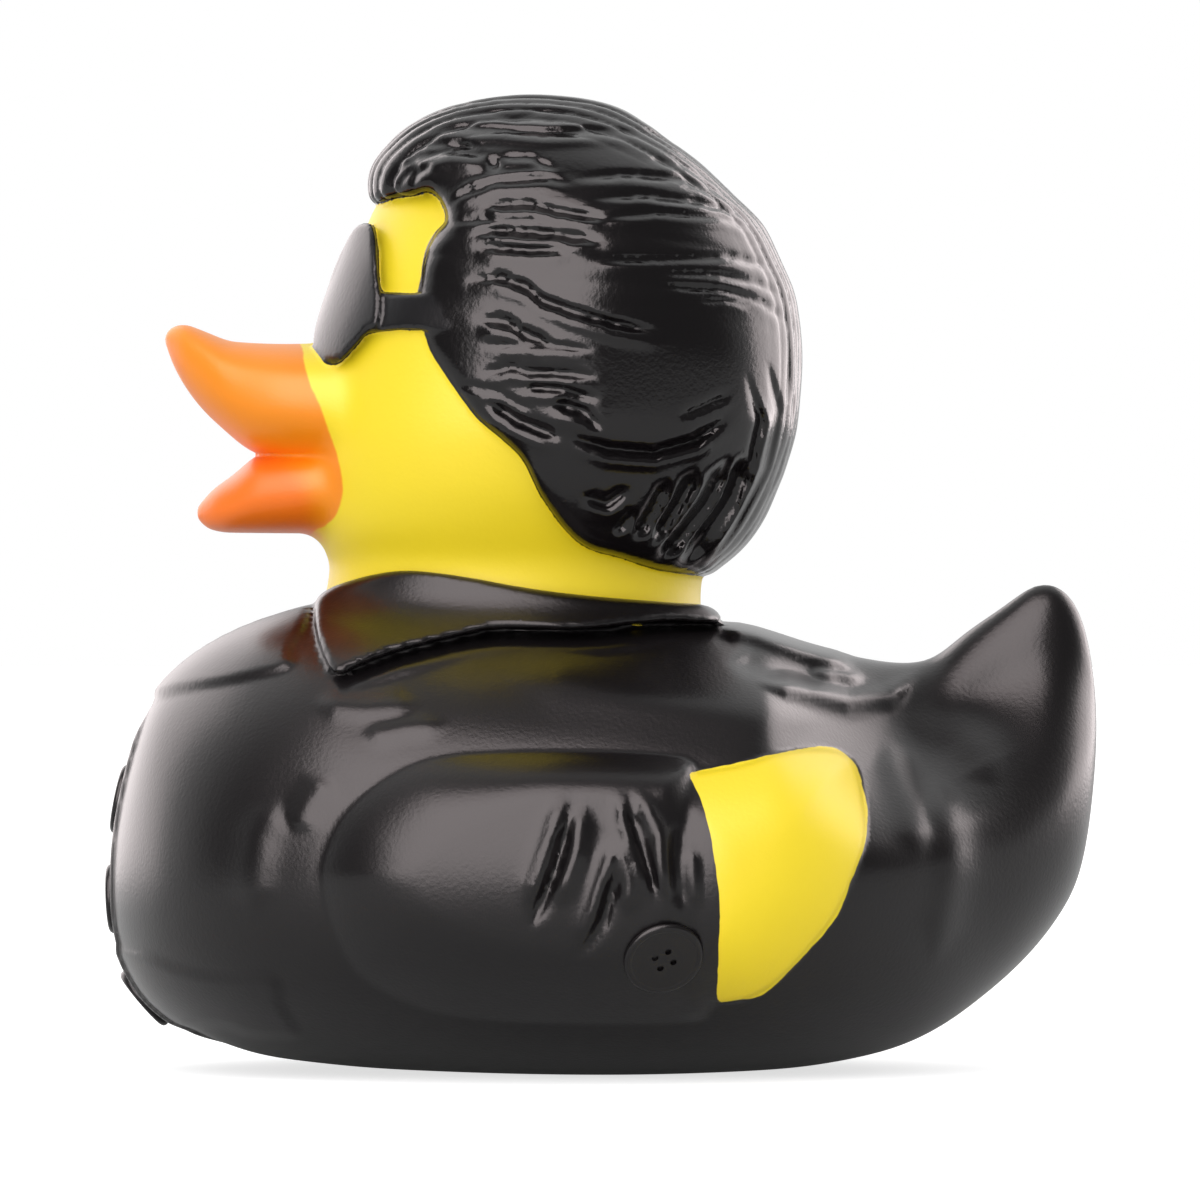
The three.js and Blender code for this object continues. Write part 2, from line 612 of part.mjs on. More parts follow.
function pillow(outline, layer, carve) {
  const parts = [1, 0.985, 0.93, 0.83, 0.69, 0.52, 0.33, 0.08];
  const middle = middleOf(outline);
  const curve = new THREE.CatmullRomCurve3(
    outline.map(([x, z]) => new THREE.Vector3(x, z, 0)), true, 'centripetal',
  );
  const sections = parts.map((part) => {
    const ring = [];
    for (let k = wingSides; k > 0; k -= 1) {
      const rim = curve.getPoint(k / wingSides);
      const x = THREE.MathUtils.lerp(middle.x, rim.x, part);
      const z = THREE.MathUtils.lerp(middle.y, rim.y, part);
      const lift = part < 1 ? swell(layer, part) - carve(x, z) * (1 - part ** 6) : -buttonRoot;
      ring.push(new THREE.Vector3(x, -(flankY(x, z) + lift), z));
    }
    return ring;
  });
  const sunk = sections[0].map((p) => new THREE.Vector3(p.x, p.y + 2 * layer, p.z));
  return solid(new LoftGeometry([sunk, ...sections], { capStart: true, capEnd: true }));
}

function wing() {
  return pillow(sleeveOutline, sleeveLayer, foldAt).add(pillow(wingTipOutline, wingTipLayer, () => 0));
}

// Round button with a raised rim, its root sunk in what carries it

function button(diameter, seat, facing) {
  const radius = diameter / 2;
  const rimWide = 0.16 * diameter;
  const outline = [
    [0, -buttonRoot], [radius - 0.3, -buttonRoot], [radius, buttonLayer - 0.3], [radius - 0.3, buttonLayer],
    [radius - 0.3 - 0.4 * rimWide, buttonLayer + 0.02], [radius - rimWide, buttonLayer - buttonRim],
    [0, buttonLayer - buttonRim],
  ].map(([r, h]) => new THREE.Vector2(r, h));
  const geometry = new THREE.LatheGeometry(outline, buttonSides);
  geometry.rotateX(Math.PI / 2);
  const turn = new THREE.Quaternion().setFromUnitVectors(new THREE.Vector3(0, 0, 1), facing.clone().normalize());
  geometry.applyQuaternion(turn);
  geometry.translate(seat.x, seat.y, seat.z);
  return solid(geometry);
}

function frontButtons() {
  const buttons = [];
  for (let i = 0; i < frontButtonCount; i += 1) {
    const z = frontButtonTop - i * frontButtonPitch;
    const y = frontButtonY;
    const step = 0.5;
    const x = chestXAt(y, z);
    const slopeY = (chestXAt(y + step, z) - chestXAt(y - step, z)) / (2 * step);
    const slopeZ = (chestXAt(y, z + step) - chestXAt(y, z - step)) / (2 * step);
    buttons.push(button(frontButtonDiameter, new THREE.Vector3(x, y, z), new THREE.Vector3(-1, slopeY, slopeZ)));
  }
  return buttons;
}

function cuffButton() {
  const step = 1;
  const slopeX = (flankY(cuffButtonX + step, cuffButtonHeight) - flankY(cuffButtonX - step, cuffButtonHeight)) / 2;
  const slopeZ = (flankY(cuffButtonX, cuffButtonHeight + step) - flankY(cuffButtonX, cuffButtonHeight - step)) / 2;
  const middle = middleOf(sleeveOutline);
  const across = (cuffButtonX - middle.x) / (cuffX + 1.8 - middle.x);
  const down = (cuffButtonHeight - middle.y) / (middle.y - sleeveBottom);
  const lift = swell(sleeveLayer, Math.min(0.9, Math.max(Math.abs(across), Math.abs(down))));
  const seat = new THREE.Vector3(cuffButtonX, -(flankY(cuffButtonX, cuffButtonHeight) + lift), cuffButtonHeight);
  return button(cuffButtonDiameter, seat, new THREE.Vector3(-slopeX - 0.05, -1, -slopeZ / 2));
}

function bothSides(left) {
  return left.add(left.mirror([0, 1, 0]));
}

// Everything moulded together, standing on a flat base

function duck() {
  let whole = hull()
    .add(stack(headLines, headFoot, headTop, headRings, headSides))
    .add(hair())
    .add(upperBill())
    .add(lowerBill())
    .add(billRoot())
    .add(sunglasses())
    .add(collar())
    .add(lapels())
    .add(hem())
    .add(bothSides(wing().add(cuffButton())));
  frontButtons().forEach((one) => {
    whole = whole.add(one);
  });
  const roomSide = 4 * (bodyLength + bodyWidth + hairTop);
  const room = new THREE.BoxGeometry(roomSide, roomSide, roomSide);
  room.translate(0, 0, roomSide / 2);
  return whole.intersect(solid(room));
}

const vinyl = new THREE.MeshStandardMaterial({ color: 0x2a2629, roughness: 0.35, metalness: 0 });
const body = new THREE.Mesh(geometryOf(duck()), vinyl);
body.name = 'duck_body';

const model = new THREE.Group();
model.add(body);

export default model;
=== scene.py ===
"""Rubber duck with swept-back hair, sunglasses and a buttoned jacket: the painted vinyl, as it looks.

The shapes are worked out in millimetres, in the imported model's own frame: -X towards the bill,
-Y to the duck's left side, +Z up. Every finished mesh is turned into metres.
"""

import logging
import math
import time
from dataclasses import dataclass, field
from enum import Enum
from typing import Callable, Sequence

import bpy
import numpy as np
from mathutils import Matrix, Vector
from mathutils.bvhtree import BVHTree


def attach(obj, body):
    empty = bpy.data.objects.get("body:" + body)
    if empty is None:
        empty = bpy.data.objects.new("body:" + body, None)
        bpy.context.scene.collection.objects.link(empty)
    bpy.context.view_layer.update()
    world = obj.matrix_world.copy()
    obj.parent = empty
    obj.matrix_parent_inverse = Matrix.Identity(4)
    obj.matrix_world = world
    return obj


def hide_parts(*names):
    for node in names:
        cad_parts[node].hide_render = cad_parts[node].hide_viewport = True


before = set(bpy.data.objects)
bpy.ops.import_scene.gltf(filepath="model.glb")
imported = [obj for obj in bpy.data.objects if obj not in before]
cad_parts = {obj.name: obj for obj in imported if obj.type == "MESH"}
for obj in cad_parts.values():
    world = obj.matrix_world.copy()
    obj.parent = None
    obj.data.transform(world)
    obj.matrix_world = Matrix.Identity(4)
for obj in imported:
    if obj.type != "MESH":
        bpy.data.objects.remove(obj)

LOG = logging.getLogger("duck")
MILLIMETRE = 0.001
NODE = "duck_body"
BODY = "root"
EYE_DISTANCE = 1000.0
EYE_X = -0.14
EYE_Z = 43.3
TINY = 1e-12

Array = np.ndarray
Point = tuple[float, float]
Corner = tuple[float, float, float]
Shape = Callable[[Array], Array]
Socket = bpy.types.NodeSocket
Stroke = tuple[Sequence[Point], float, float]


class Reading(Enum):
    """How the places along a profile are spread before it is smoothed."""

    PLAIN = "plain"
    ROUND_ENDED = "round at both ends"
    ROUND_TOPPED = "round at the far end"


class Paint(Enum):
    """The mesh attributes that say, in millimetres, how far inside its edge each paint lies."""

    HAIR = "hair_paint"
    LENS = "lens_paint"
    BILL = "bill_paint"
    MOUTH = "mouth_paint"
    WING = "wing_paint"


def smooth_step(value: Array, start: float, end: float) -> Array:
    """Rise smoothly from 0 at start to 1 at end.

    Args:
        value: Where to read the step.
        start: The place where it starts to rise.
        end: The place where it has risen.

    Returns:
        The height of the step, from 0 to 1.
    """
    share = np.clip((value - start) / (end - start), 0.0, 1.0)
    return share * share * (3.0 - 2.0 * share)


def soft_min(first: Array, second: Array, radius: float) -> Array:
    """Join two shapes with a fillet of about the given radius.

    Args:
        first: Distances to the first shape.
        second: Distances to the second shape.
        radius: The width of the blend.

    Returns:
        Distances to the joined shape.
    """
    near = np.maximum(radius - np.abs(first - second), 0.0) / radius
    return np.minimum(first, second) - near * near * radius / 4.0


def soft_max(first: Array, second: Array, radius: float) -> Array:
    """Keep what two shapes share, with the new edge rounded by the given radius."""
    return -soft_min(-first, -second, radius)


def wander(along: Array, across: Array, seed: int) -> Array:
    """Wander smoothly and irregularly between about -1 and 1.

    Args:
        along: The first coordinate, in radians of the slowest wave.
        across: The second coordinate, likewise.
        seed: Picks one of many patterns.

    Returns:
        The value at each place.
    """
    draws = np.random.default_rng(seed)
    total = np.zeros_like(along)
    waves = 5
    slowest = 0.6
    fastest = 1.9
    for _ in range(waves):
        turn = draws.uniform(0.0, 2.0 * math.pi)
        pace = draws.uniform(slowest, fastest)
        lag = draws.uniform(0.0, 2.0 * math.pi)
        total += np.sin(pace * (along * math.cos(turn) + across * math.sin(turn)) + lag)
    return total / math.sqrt(2.0 * waves)


def uneven(
    along: Array, across: Array, seed: int, middle: float, change: float, least: float,
    most: float,
) -> Array:
    """Wander around a middle share, by the given change and between two limits."""
    return np.clip(middle + change * wander(along, across, seed), least, most)


def scaled(shares: Sequence[Point], size: float) -> list[Point]:
    """Turn (place, share) pairs into (place, length) pairs, given the size shared."""
    return [(place, share * size) for place, share in shares]


def ring_angles(count: int) -> Array:
    """Spread the given number of angles evenly around a ring, in one row."""
    return (np.arange(count) / count * 2.0 * math.pi)[None, :]


def squared_off(wave: Array, power: float | Array) -> Array:
    """Turn a sine or cosine into the coordinate of an oval, an ellipse where power is 2."""
    return np.sign(wave) * np.abs(wave) ** (2.0 / power)


def level_rings(
    front: Array, back: Array, half: Array, height: Array, around: int,
) -> Array:
    """Place the points of level oval sections.

    Args:
        front: The foremost X of each section, in a column.
        back: The rearmost X of each.
        half: Half the width of each.
        height: The height of each.
        around: How many points a section has.

    Returns:
        The points, as rings by places around a ring by three.
    """
    angle = ring_angles(around)
    x = (front + back) / 2.0 + np.cos(angle) * (back - front) / 2.0
    y = np.sin(angle) * half
    return np.stack([x, y, height + 0.0 * angle], axis=2)


class Profile:
    """A smooth curve through (place, value) pairs that never overshoots them."""

    samples = 1200
    softness = 0.011

    def __init__(self, points: Sequence[Point], reading: Reading = Reading.PLAIN) -> None:
        """Draw the curve once, closely, and smooth it.

        Args:
            points: The (place, value) pairs, in the order of their places.
            reading: How places are spread, so that a round end comes out round.
        """
        self.reading = reading
        place = self.spread(np.array([point[0] for point in points], float))
        value = np.array([point[1] for point in points], float)
        self.places = np.linspace(place[0], place[-1], self.samples)
        self.values = self.smoothed(self.curve(place, value))

    def spread(self, place: Array) -> Array:
        """Turn places along the piece into places along the curve.

        Args:
            place: The places along the piece, from 0 to 1 where an end is round.

        Returns:
            The places along the curve, wide apart at a round end.
        """
        if self.reading is Reading.ROUND_ENDED:
            return np.arccos(1.0 - 2.0 * np.clip(place, 0.0, 1.0))
        if self.reading is Reading.ROUND_TOPPED:
            return np.arcsin(np.clip(place, 0.0, 1.0))
        return place

    def curve(self, place: Array, value: Array) -> Array:
        """Read a cubic curve whose slope is 0 wherever the values turn back.

        Args:
            place: The places of the given points.
            value: Their values.

        Returns:
            The values at self.places.
        """
        slope = np.diff(value) / np.diff(place)
        tangent = np.zeros_like(value)
        tangent[0] = slope[0]
        tangent[-1] = slope[-1]
        before = slope[:-1]
        after = slope[1:]
        rising = before * after > 0.0
        total = np.where(rising, before + after, 1.0)
        tangent[1:-1] = np.where(rising, 2.0 * before * after / total, 0.0)
        span = np.clip(np.searchsorted(place, self.places) - 1, 0, len(slope) - 1)
        width = np.diff(place)[span]
        part = (self.places - place[span]) / width
        rise = part * part * (3.0 - 2.0 * part)
        start = part * (1.0 - part) ** 2 * width * tangent[span]
        end = part * part * (part - 1.0) * width * tangent[span + 1]
        return value[span] * (1.0 - rise) + value[span + 1] * rise + start + end

    def smoothed(self, values: Array) -> Array:
        """Even out the bends of a closely read curve, with both ends kept in place.

        Args:
            values: The curve at self.places.

        Returns:
            The smoother curve at the same places.
        """
        blur = self.softness * self.samples
        reach = int(4 * blur)
        steps = np.arange(-reach, reach + 1)
        weights = np.exp(-0.5 * (steps / blur) ** 2)
        before = 2.0 * values[0] - values[reach:0:-1]
        after = 2.0 * values[-1] - values[-2:-reach - 2:-1]
        longer = np.concatenate([before, values, after])
        return np.convolve(longer, weights / weights.sum(), mode="valid")

    def __call__(self, place: Array) -> Array:
        """Read the curve at places along the piece."""
        return np.interp(self.spread(np.asarray(place, float)), self.places, self.values)


@dataclass
class Grid:
    """Numbers on an even grid, read between its points by a smooth cubic rule."""

    low: Array
    cell: float
    values: Array

    def at(self, points: Array) -> Array:
        """Read the grid.

        Args:
            points: One row for each place, with as many columns as the grid has directions.

        Returns:
            The value at each place, or at the nearest place inside the grid.
        """
        shape = np.array(self.values.shape)
        place = np.clip((points - self.low) / self.cell, 1.0, shape - 2.001)
        base = place.astype(np.int64)
        part = place - base
        weights = (
            (1.0 - part) ** 3 / 6.0,
            (3.0 * part ** 3 - 6.0 * part ** 2 + 4.0) / 6.0,
            (-3.0 * part ** 3 + 3.0 * part ** 2 + 3.0 * part + 1.0) / 6.0,
            part ** 3 / 6.0,
        )
        stride = np.array([int(np.prod(shape[axis + 1:])) for axis in range(len(shape))])
        start = base @ stride
        flat = self.values.ravel()
        total = np.zeros(len(points))
        for steps in np.ndindex(*(4,) * len(shape)):
            offset = int((np.array(steps) - 1) @ stride)
            weight = weights[steps[0]][:, 0].copy()
            for axis in range(1, len(shape)):
                weight *= weights[steps[axis]][:, axis]
            total += weight * flat[start + offset]
        return total


def grid_points(low: Array, high: Array, cell: float) -> tuple[Array, tuple[int, ...]]:
    """List the points of an even grid.

    Args:
        low: The lowest corner.
        high: The highest corner.
        cell: The distance between points.

    Returns:
        The points, one to a row, and how many there are in each direction.
    """
    slack = 1e-6
    counts = tuple(int(math.ceil(span / cell - slack)) + 1 for span in high - low)
    axes = [low[axis] + cell * np.arange(count) for axis, count in enumerate(counts)]
    mesh = np.meshgrid(*axes, indexing="ij")
    return np.stack([one.ravel() for one in mesh], axis=1), counts


def seen_from_side(points: Array) -> Array:
    """Say where places on the duck appear in the side view, in which its outlines are drawn.

    Args:
        points: Places on either side of the duck.

    Returns:
        The X and Z that each has on the duck's middle plane, as seen from the eye.
    """
    scale = EYE_DISTANCE / (EYE_DISTANCE - np.abs(points[:, 1]))
    across = EYE_X + (points[:, 0] - EYE_X) * scale
    up = EYE_Z + (points[:, 2] - EYE_Z) * scale
    return np.stack([across, up], axis=1)


class Outline:
    """A closed smooth line drawn in a plane, read as a distance: below 0 inside it."""

    spans = 6
    margin = 7.0
    cell = 0.35

    def __init__(self, points: Sequence[Point], smooth: bool = True) -> None:
        """Measure the distances to the line on a fine grid.

        Args:
            points: The points that the line passes through.
            smooth: Whether the line bends through the points, or runs straight between them.
        """
        corners = np.array(points, float)
        line = self.rounded(corners) if smooth else corners
        low = line.min(0) - self.margin
        places, counts = grid_points(low, line.max(0) + self.margin, self.cell)
        self.grid = Grid(low, self.cell, self.distances(line, places).reshape(counts))

    def rounded(self, corners: Array) -> Array:
        """Bend a closed line smoothly through its corners.

        Args:
            corners: The points that it passes through.

        Returns:
            The points of the finer line.
        """
        before = np.roll(corners, 1, 0)
        after = np.roll(corners, -1, 0)
        beyond = np.roll(corners, -2, 0)
        pieces = []
        for step in range(self.spans):
            part = step / self.spans
            pieces.append(0.5 * (
                2.0 * corners
                + (after - before) * part
                + (2.0 * before - 5.0 * corners + 4.0 * after - beyond) * part ** 2
                + (3.0 * corners - before - 3.0 * after + beyond) * part ** 3
            ))
        return np.stack(pieces, axis=1).reshape(-1, 2)

    @staticmethod
    def distances(line: Array, places: Array) -> Array:
        """Measure from places to a closed line.

        Args:
            line: The corners of the line, in order.
            places: Where to measure from.

        Returns:
            The distance from each place, below 0 inside the line.
        """
        nearest = np.full(len(places), np.inf)
        inside = np.zeros(len(places), bool)
        for start, end in zip(line, np.roll(line, -1, 0)):
            run = end - start
            share = np.clip((places - start) @ run / max(float(run @ run), TINY), 0.0, 1.0)
            gap = places - start - share[:, None] * run
            nearest = np.minimum(nearest, (gap * gap).sum(1))
            crosses = (start[1] > places[:, 1]) != (end[1] > places[:, 1])
            if abs(run[1]) > TINY:
                where = start[0] + (places[:, 1] - start[1]) * run[0] / run[1]
                inside ^= crosses & (places[:, 0] < where)
        return np.where(inside, -1.0, 1.0) * np.sqrt(nearest)

    def side(self, points: Array) -> Array:
        """Read the line as drawn in the side view, right through the duck."""
        return self.grid.at(seen_from_side(points))

    def front(self, points: Array) -> Array:
        """Read the line as drawn in the front view, alike on the left and on the right."""
        return self.grid.at(np.stack([np.abs(points[:, 1]), points[:, 2]], axis=1))


def loft_field(rings: Array, low: Sequence[float], high: Sequence[float], cell: float) -> Grid:
    """Measure the distances to a closed loft that is alike on both sides.

    Args:
        rings: The loft's points, as rings by places around a ring by three.
        low: The lowest corner of what is measured, in X and Z.
        high: The highest corner of what is measured, in X, Y and Z.
        cell: The distance between the places that are measured from.

    Returns:
        The distances, below 0 inside the loft, for Y of 0 and more.
    """
    count, around = rings.shape[:2]
    index = np.arange(count * around).reshape(count, around)
    turned = np.roll(index, -1, 1)
    sides = np.stack([index[:-1], turned[:-1], turned[1:], index[1:]], axis=2).reshape(-1, 4)
    faces = sides.tolist() + [index[0][::-1].tolist(), index[-1].tolist()]
    tree = BVHTree.FromPolygons(rings.reshape(-1, 3).tolist(), faces)
    mirror_rows = 3
    start = np.array([low[0], -mirror_rows * cell, low[1]])
    places, counts = grid_points(start, np.array(high), cell)
    values = np.empty(len(places))
    for row, place in enumerate(places.tolist()):
        if place[1] < -0.5 * cell:
            values[row] = 0.0
            continue
        spot, normal, _, gap = tree.find_nearest(place)
        out = (place[0] - spot[0]) * normal[0] + (place[1] - spot[1]) * normal[1]
        out += (place[2] - spot[2]) * normal[2]
        values[row] = math.copysign(gap, out)
    values = values.reshape(counts)
    for step in range(mirror_rows):
        values[:, step, :] = values[:, 2 * mirror_rows - step, :]
    if values[0, -1, -1] < 0.0:
        values = -values
    return Grid(start, cell, values)


def mirrored(points: Array) -> Array:
    """Fold places on the duck's left side over to its right side."""
    return points * (1.0, 0.0, 1.0) + np.abs(points) * (0.0, 1.0, 0.0)


class Relief:
    """Raised and sunken lines drawn in the side view, kept as heights on an even grid."""

    cell = 0.2
    margin = 3.0
    taper_rate = 5.0
    least_taper = 0.1
    end_width = 0.4
    lip_place = 2.1
    lip_width = 1.3
    lip_fading = 4

    def __init__(self, strokes: Sequence[Stroke], lip: float = 0.0) -> None:
        """Draw all the lines.

        Args:
            strokes: For each line the points it runs through, its half width and its height,
                which is below 0 where it is sunk.
            lip: How high the strand below a sunk line stands, as a share of the line's depth.
        """
        corners = np.array([point for points, _, _ in strokes for point in points], float)
        widest = max(width for _, width, _ in strokes)
        low = corners.min(0) - self.margin * widest
        places, counts = grid_points(low, corners.max(0) + self.margin * widest, self.cell)
        raised = np.zeros(len(places))
        sunk = np.zeros(len(places))
        for points, width, height in strokes:
            line, ledge = self.shape(places, np.array(points, float), width)
            raised = np.maximum(raised, np.maximum(height * line, -lip * height * ledge))
            sunk = np.minimum(sunk, height * line)
        self.grid = Grid(low, self.cell, (raised + sunk).reshape(counts))

    @classmethod
    def shape(
        cls, places: Array, corners: Array, width: float,
    ) -> tuple[Array, Array]:
        """Give the height of one line and of the lip below it, thinning out at both ends.

        Args:
            places: Where to read them, in the side view.
            corners: The points that the line runs through.
            width: Its half width.

        Returns:
            The height of the line and that of its lip, each from 0 to 1. The lip is full
            along a level line and fades as the line gets steeper.
        """
        runs = np.diff(corners, axis=0)
        lengths = np.hypot(runs[:, 0], runs[:, 1])
        total = lengths.sum()
        line = np.zeros(len(places))
        lip = np.zeros(len(places))
        before = 0.0
        for start, run, length in zip(corners, runs, lengths):
            share = np.clip((places - start) @ run / length ** 2, 0.0, 1.0)
            gap = places - start - share[:, None] * run
            part = (before + share * length) / total
            taper = np.clip(cls.taper_rate * np.minimum(part, 1.0 - part) + cls.least_taper, 0.0, 1.0)
            square = (gap * gap).sum(1)
            reach = width * (cls.end_width + (1.0 - cls.end_width) * taper)
            line = np.maximum(line, taper * np.exp(-square / reach ** 2))
            turn = run[1] * gap[:, 0] - run[0] * gap[:, 1]
            below = np.sign(turn) * np.sign(run[0] + TINY) > 0.0
            offset = (np.sqrt(square) / width - cls.lip_place) / cls.lip_width
            level = (run[0] / length) ** cls.lip_fading
            lip = np.maximum(lip, np.where(below, level * taper * np.exp(-offset ** 2), 0.0))
            before += length
        return line, lip

    def at(self, points: Array) -> Array:
        """Read the height at places on the duck."""
        return self.grid.at(seen_from_side(points))


@dataclass
class Hull:
    """The plump body with its upturned tail, in sections across X."""

    chest_x: float = -44.86
    tail_x: float = 45.6
    width: float = 73.0
    shoulder: float = 43.6
    tail_top: float = 45.1
    tail_end: float = 33.0
    saddle: float = 37.4
    chest: float = 17.2
    girth: float = 18.5
    dip: float = 0.9
    belly_power: float = 2.3
    rings: int = 150
    around: int = 150
    end_gap: float = 0.006
    cell: float = 1.3
    low: Point = (-51.0, -5.0)
    high: Corner = (51.0, 43.0, 52.0)
    grid: Grid = field(init=False)

    def __post_init__(self) -> None:
        """Draw the lines of the body and measure it."""
        self.length = self.tail_x - self.chest_x
        self.back = Profile([
            (0, self.chest), (0.004, self.chest + 5.2), (0.017, self.chest + 10.8),
            (0.03, self.shoulder - 11.6), (0.045, self.shoulder - 8.8), (0.07, self.shoulder - 6.4),
            (0.11, self.shoulder - 3.8), (0.165, self.shoulder - 1.6), (0.22, self.shoulder - 0.4),
            (0.36, self.shoulder), (0.5, self.shoulder - 0.8), (0.628, self.shoulder - 2.6),
            (0.67, self.saddle + 2.7), (0.709, self.saddle + 1.5), (0.757, self.saddle + 0.6),
            (0.8, self.saddle), (0.829, self.saddle + 0.1), (0.86, self.tail_top - 5.2),
            (0.882, self.tail_top - 3.8), (0.915, self.tail_top - 1.7), (0.933, self.tail_top - 0.4),
            (0.948, self.tail_top), (0.964, self.tail_top - 0.5), (0.977, self.tail_top - 1.7),
            (0.988, self.tail_top - 4), (0.995, self.tail_top - 7.1), (1, self.tail_end),
        ], Reading.ROUND_ENDED)
        front_parts = [
            (0, 1), (0.004, 0.733), (0.018, 0.535), (0.037, 0.384), (0.064, 0.273), (0.107, 0.163),
            (0.152, 0.087), (0.207, 0.047), (0.311, 0),
        ]
        rear_parts = [
            (0.722, 0.021), (0.772, 0.048), (0.8, 0.07), (0.848, 0.136), (0.878, 0.197),
            (0.909, 0.267), (0.938, 0.348), (0.962, 0.436), (0.979, 0.521), (0.989, 0.63),
            (0.995, 0.758), (1, 1),
        ]
        under = [(0.5, -self.dip), (0.657, 0)]
        belly_parts = scaled(front_parts, self.chest) + under + scaled(rear_parts, self.tail_end)
        self.belly = Profile(belly_parts, Reading.ROUND_ENDED)
        self.middle = Profile([
            (0, self.chest), (0.1, self.girth - 0.4), (0.5, self.girth), (0.75, self.girth + 1),
            (0.9, self.girth + 3), (0.97, self.girth + 7), (1, self.tail_end),
        ], Reading.ROUND_ENDED)
        self.half = Profile(scaled((
            (0, 0), (0.02, 0.34), (0.055, 0.55), (0.1, 0.7), (0.165, 0.83), (0.25, 0.93),
            (0.36, 0.985), (0.5, 1), (0.62, 0.965), (0.72, 0.87), (0.81, 0.7), (0.88, 0.51),
            (0.935, 0.37), (0.97, 0.26), (0.99, 0.15), (1, 0),
        ), self.width / 2), Reading.ROUND_ENDED)
        self.pinch = Profile([(0.66, 0), (0.8, 0.5), (0.9, 0.62), (1, 0.5)])
        self.grid = loft_field(self.loft(), self.low, self.high, self.cell)

    def loft(self) -> Array:
        """Place the points of every section.

        Returns:
            The points, as rings by places around a ring by three.
        """
        turns = np.linspace(self.end_gap, 1.0 - self.end_gap, self.rings) * math.pi
        share = ((1.0 - np.cos(turns)) / 2.0)[:, None]
        angle = ring_angles(self.around)
        power = np.where(np.sin(angle) > 0.0, 2.0, self.belly_power)
        up = squared_off(np.sin(angle), power)
        across = squared_off(np.cos(angle), power)
        middle = self.middle(share)
        reach = np.where(up > 0.0, self.back(share) - middle, middle - self.belly(share))
        narrowing = np.where(up > 0.0, 1.0 - self.pinch(share) * smooth_step(up, 0.0, 0.75), 1.0)
        half = self.half(share) * narrowing
        x = self.chest_x + share * self.length + 0.0 * up
        return np.stack([x, across * half, middle + up * reach], axis=2)


@dataclass
class Head:
    """The round head and the neck, in level sections."""

    foot: float = 32.0
    neck_foot: float = 38.0
    top: float = 86.4
    front: float = -27.2
    back: float = 16.8
    width: float = 42.6
    crown_x: float = -4.0
    rings: int = 130
    around: int = 130
    last_ring: float = 0.985
    cell: float = 1.3
    low: Point = (-36.0, 30.0)
    high: Corner = (26.0, 30.0, 94.0)
    grid: Grid = field(init=False)

    def __post_init__(self) -> None:
        """Draw the lines of the head and measure it."""
        self.front_line = Profile([(share, self.front + inset) for share, inset in (
            (0, 1.7), (0.124, 1.7), (0.178, 2.4), (0.207, 1.6), (0.258, 0.4), (0.372, 0),
            (0.475, 0.4), (0.579, 1.4), (0.702, 3.4), (0.785, 4.9), (0.868, 6.6), (0.93, 10.2),
            (0.971, 15), (1, self.crown_x - self.front),
        )], Reading.ROUND_TOPPED)
        self.back_line = Profile([(share, self.back - inset) for share, inset in (
            (0, 7.2), (0.124, 7.7), (0.178, 7.2), (0.248, 5), (0.331, 2.6), (0.455, 0.6),
            (0.579, 0), (0.702, 0.8), (0.826, 4.2), (0.909, 8.6), (0.971, 14.8),
            (1, self.back - self.crown_x),
        )], Reading.ROUND_TOPPED)
        self.half_line = Profile(scaled((
            (0, 0.78), (0.124, 0.75), (0.178, 0.75), (0.207, 0.79), (0.258, 0.86), (0.331, 0.94),
            (0.455, 1), (0.579, 1), (0.702, 0.94), (0.826, 0.76), (0.909, 0.55), (0.971, 0.29),
            (1, 0),
        ), self.width / 2), Reading.ROUND_TOPPED)
        self.grid = loft_field(self.loft(), self.low, self.high, self.cell)

    def loft(self) -> Array:
        """Place the points of every level section, with a plug below the neck.

        Returns:
            The points, as rings by places around a ring by three.
        """
        share = np.sin(np.linspace(0.0, self.last_ring, self.rings) * math.pi / 2.0)
        height = self.neck_foot + share * (self.top - self.neck_foot)
        share = np.concatenate([[0.0], share])[:, None]
        height = np.concatenate([[self.foot], height])[:, None]
        front = self.front_line(share)
        back = self.back_line(share)
        return level_rings(front, back, self.half_line(share), height, self.around)


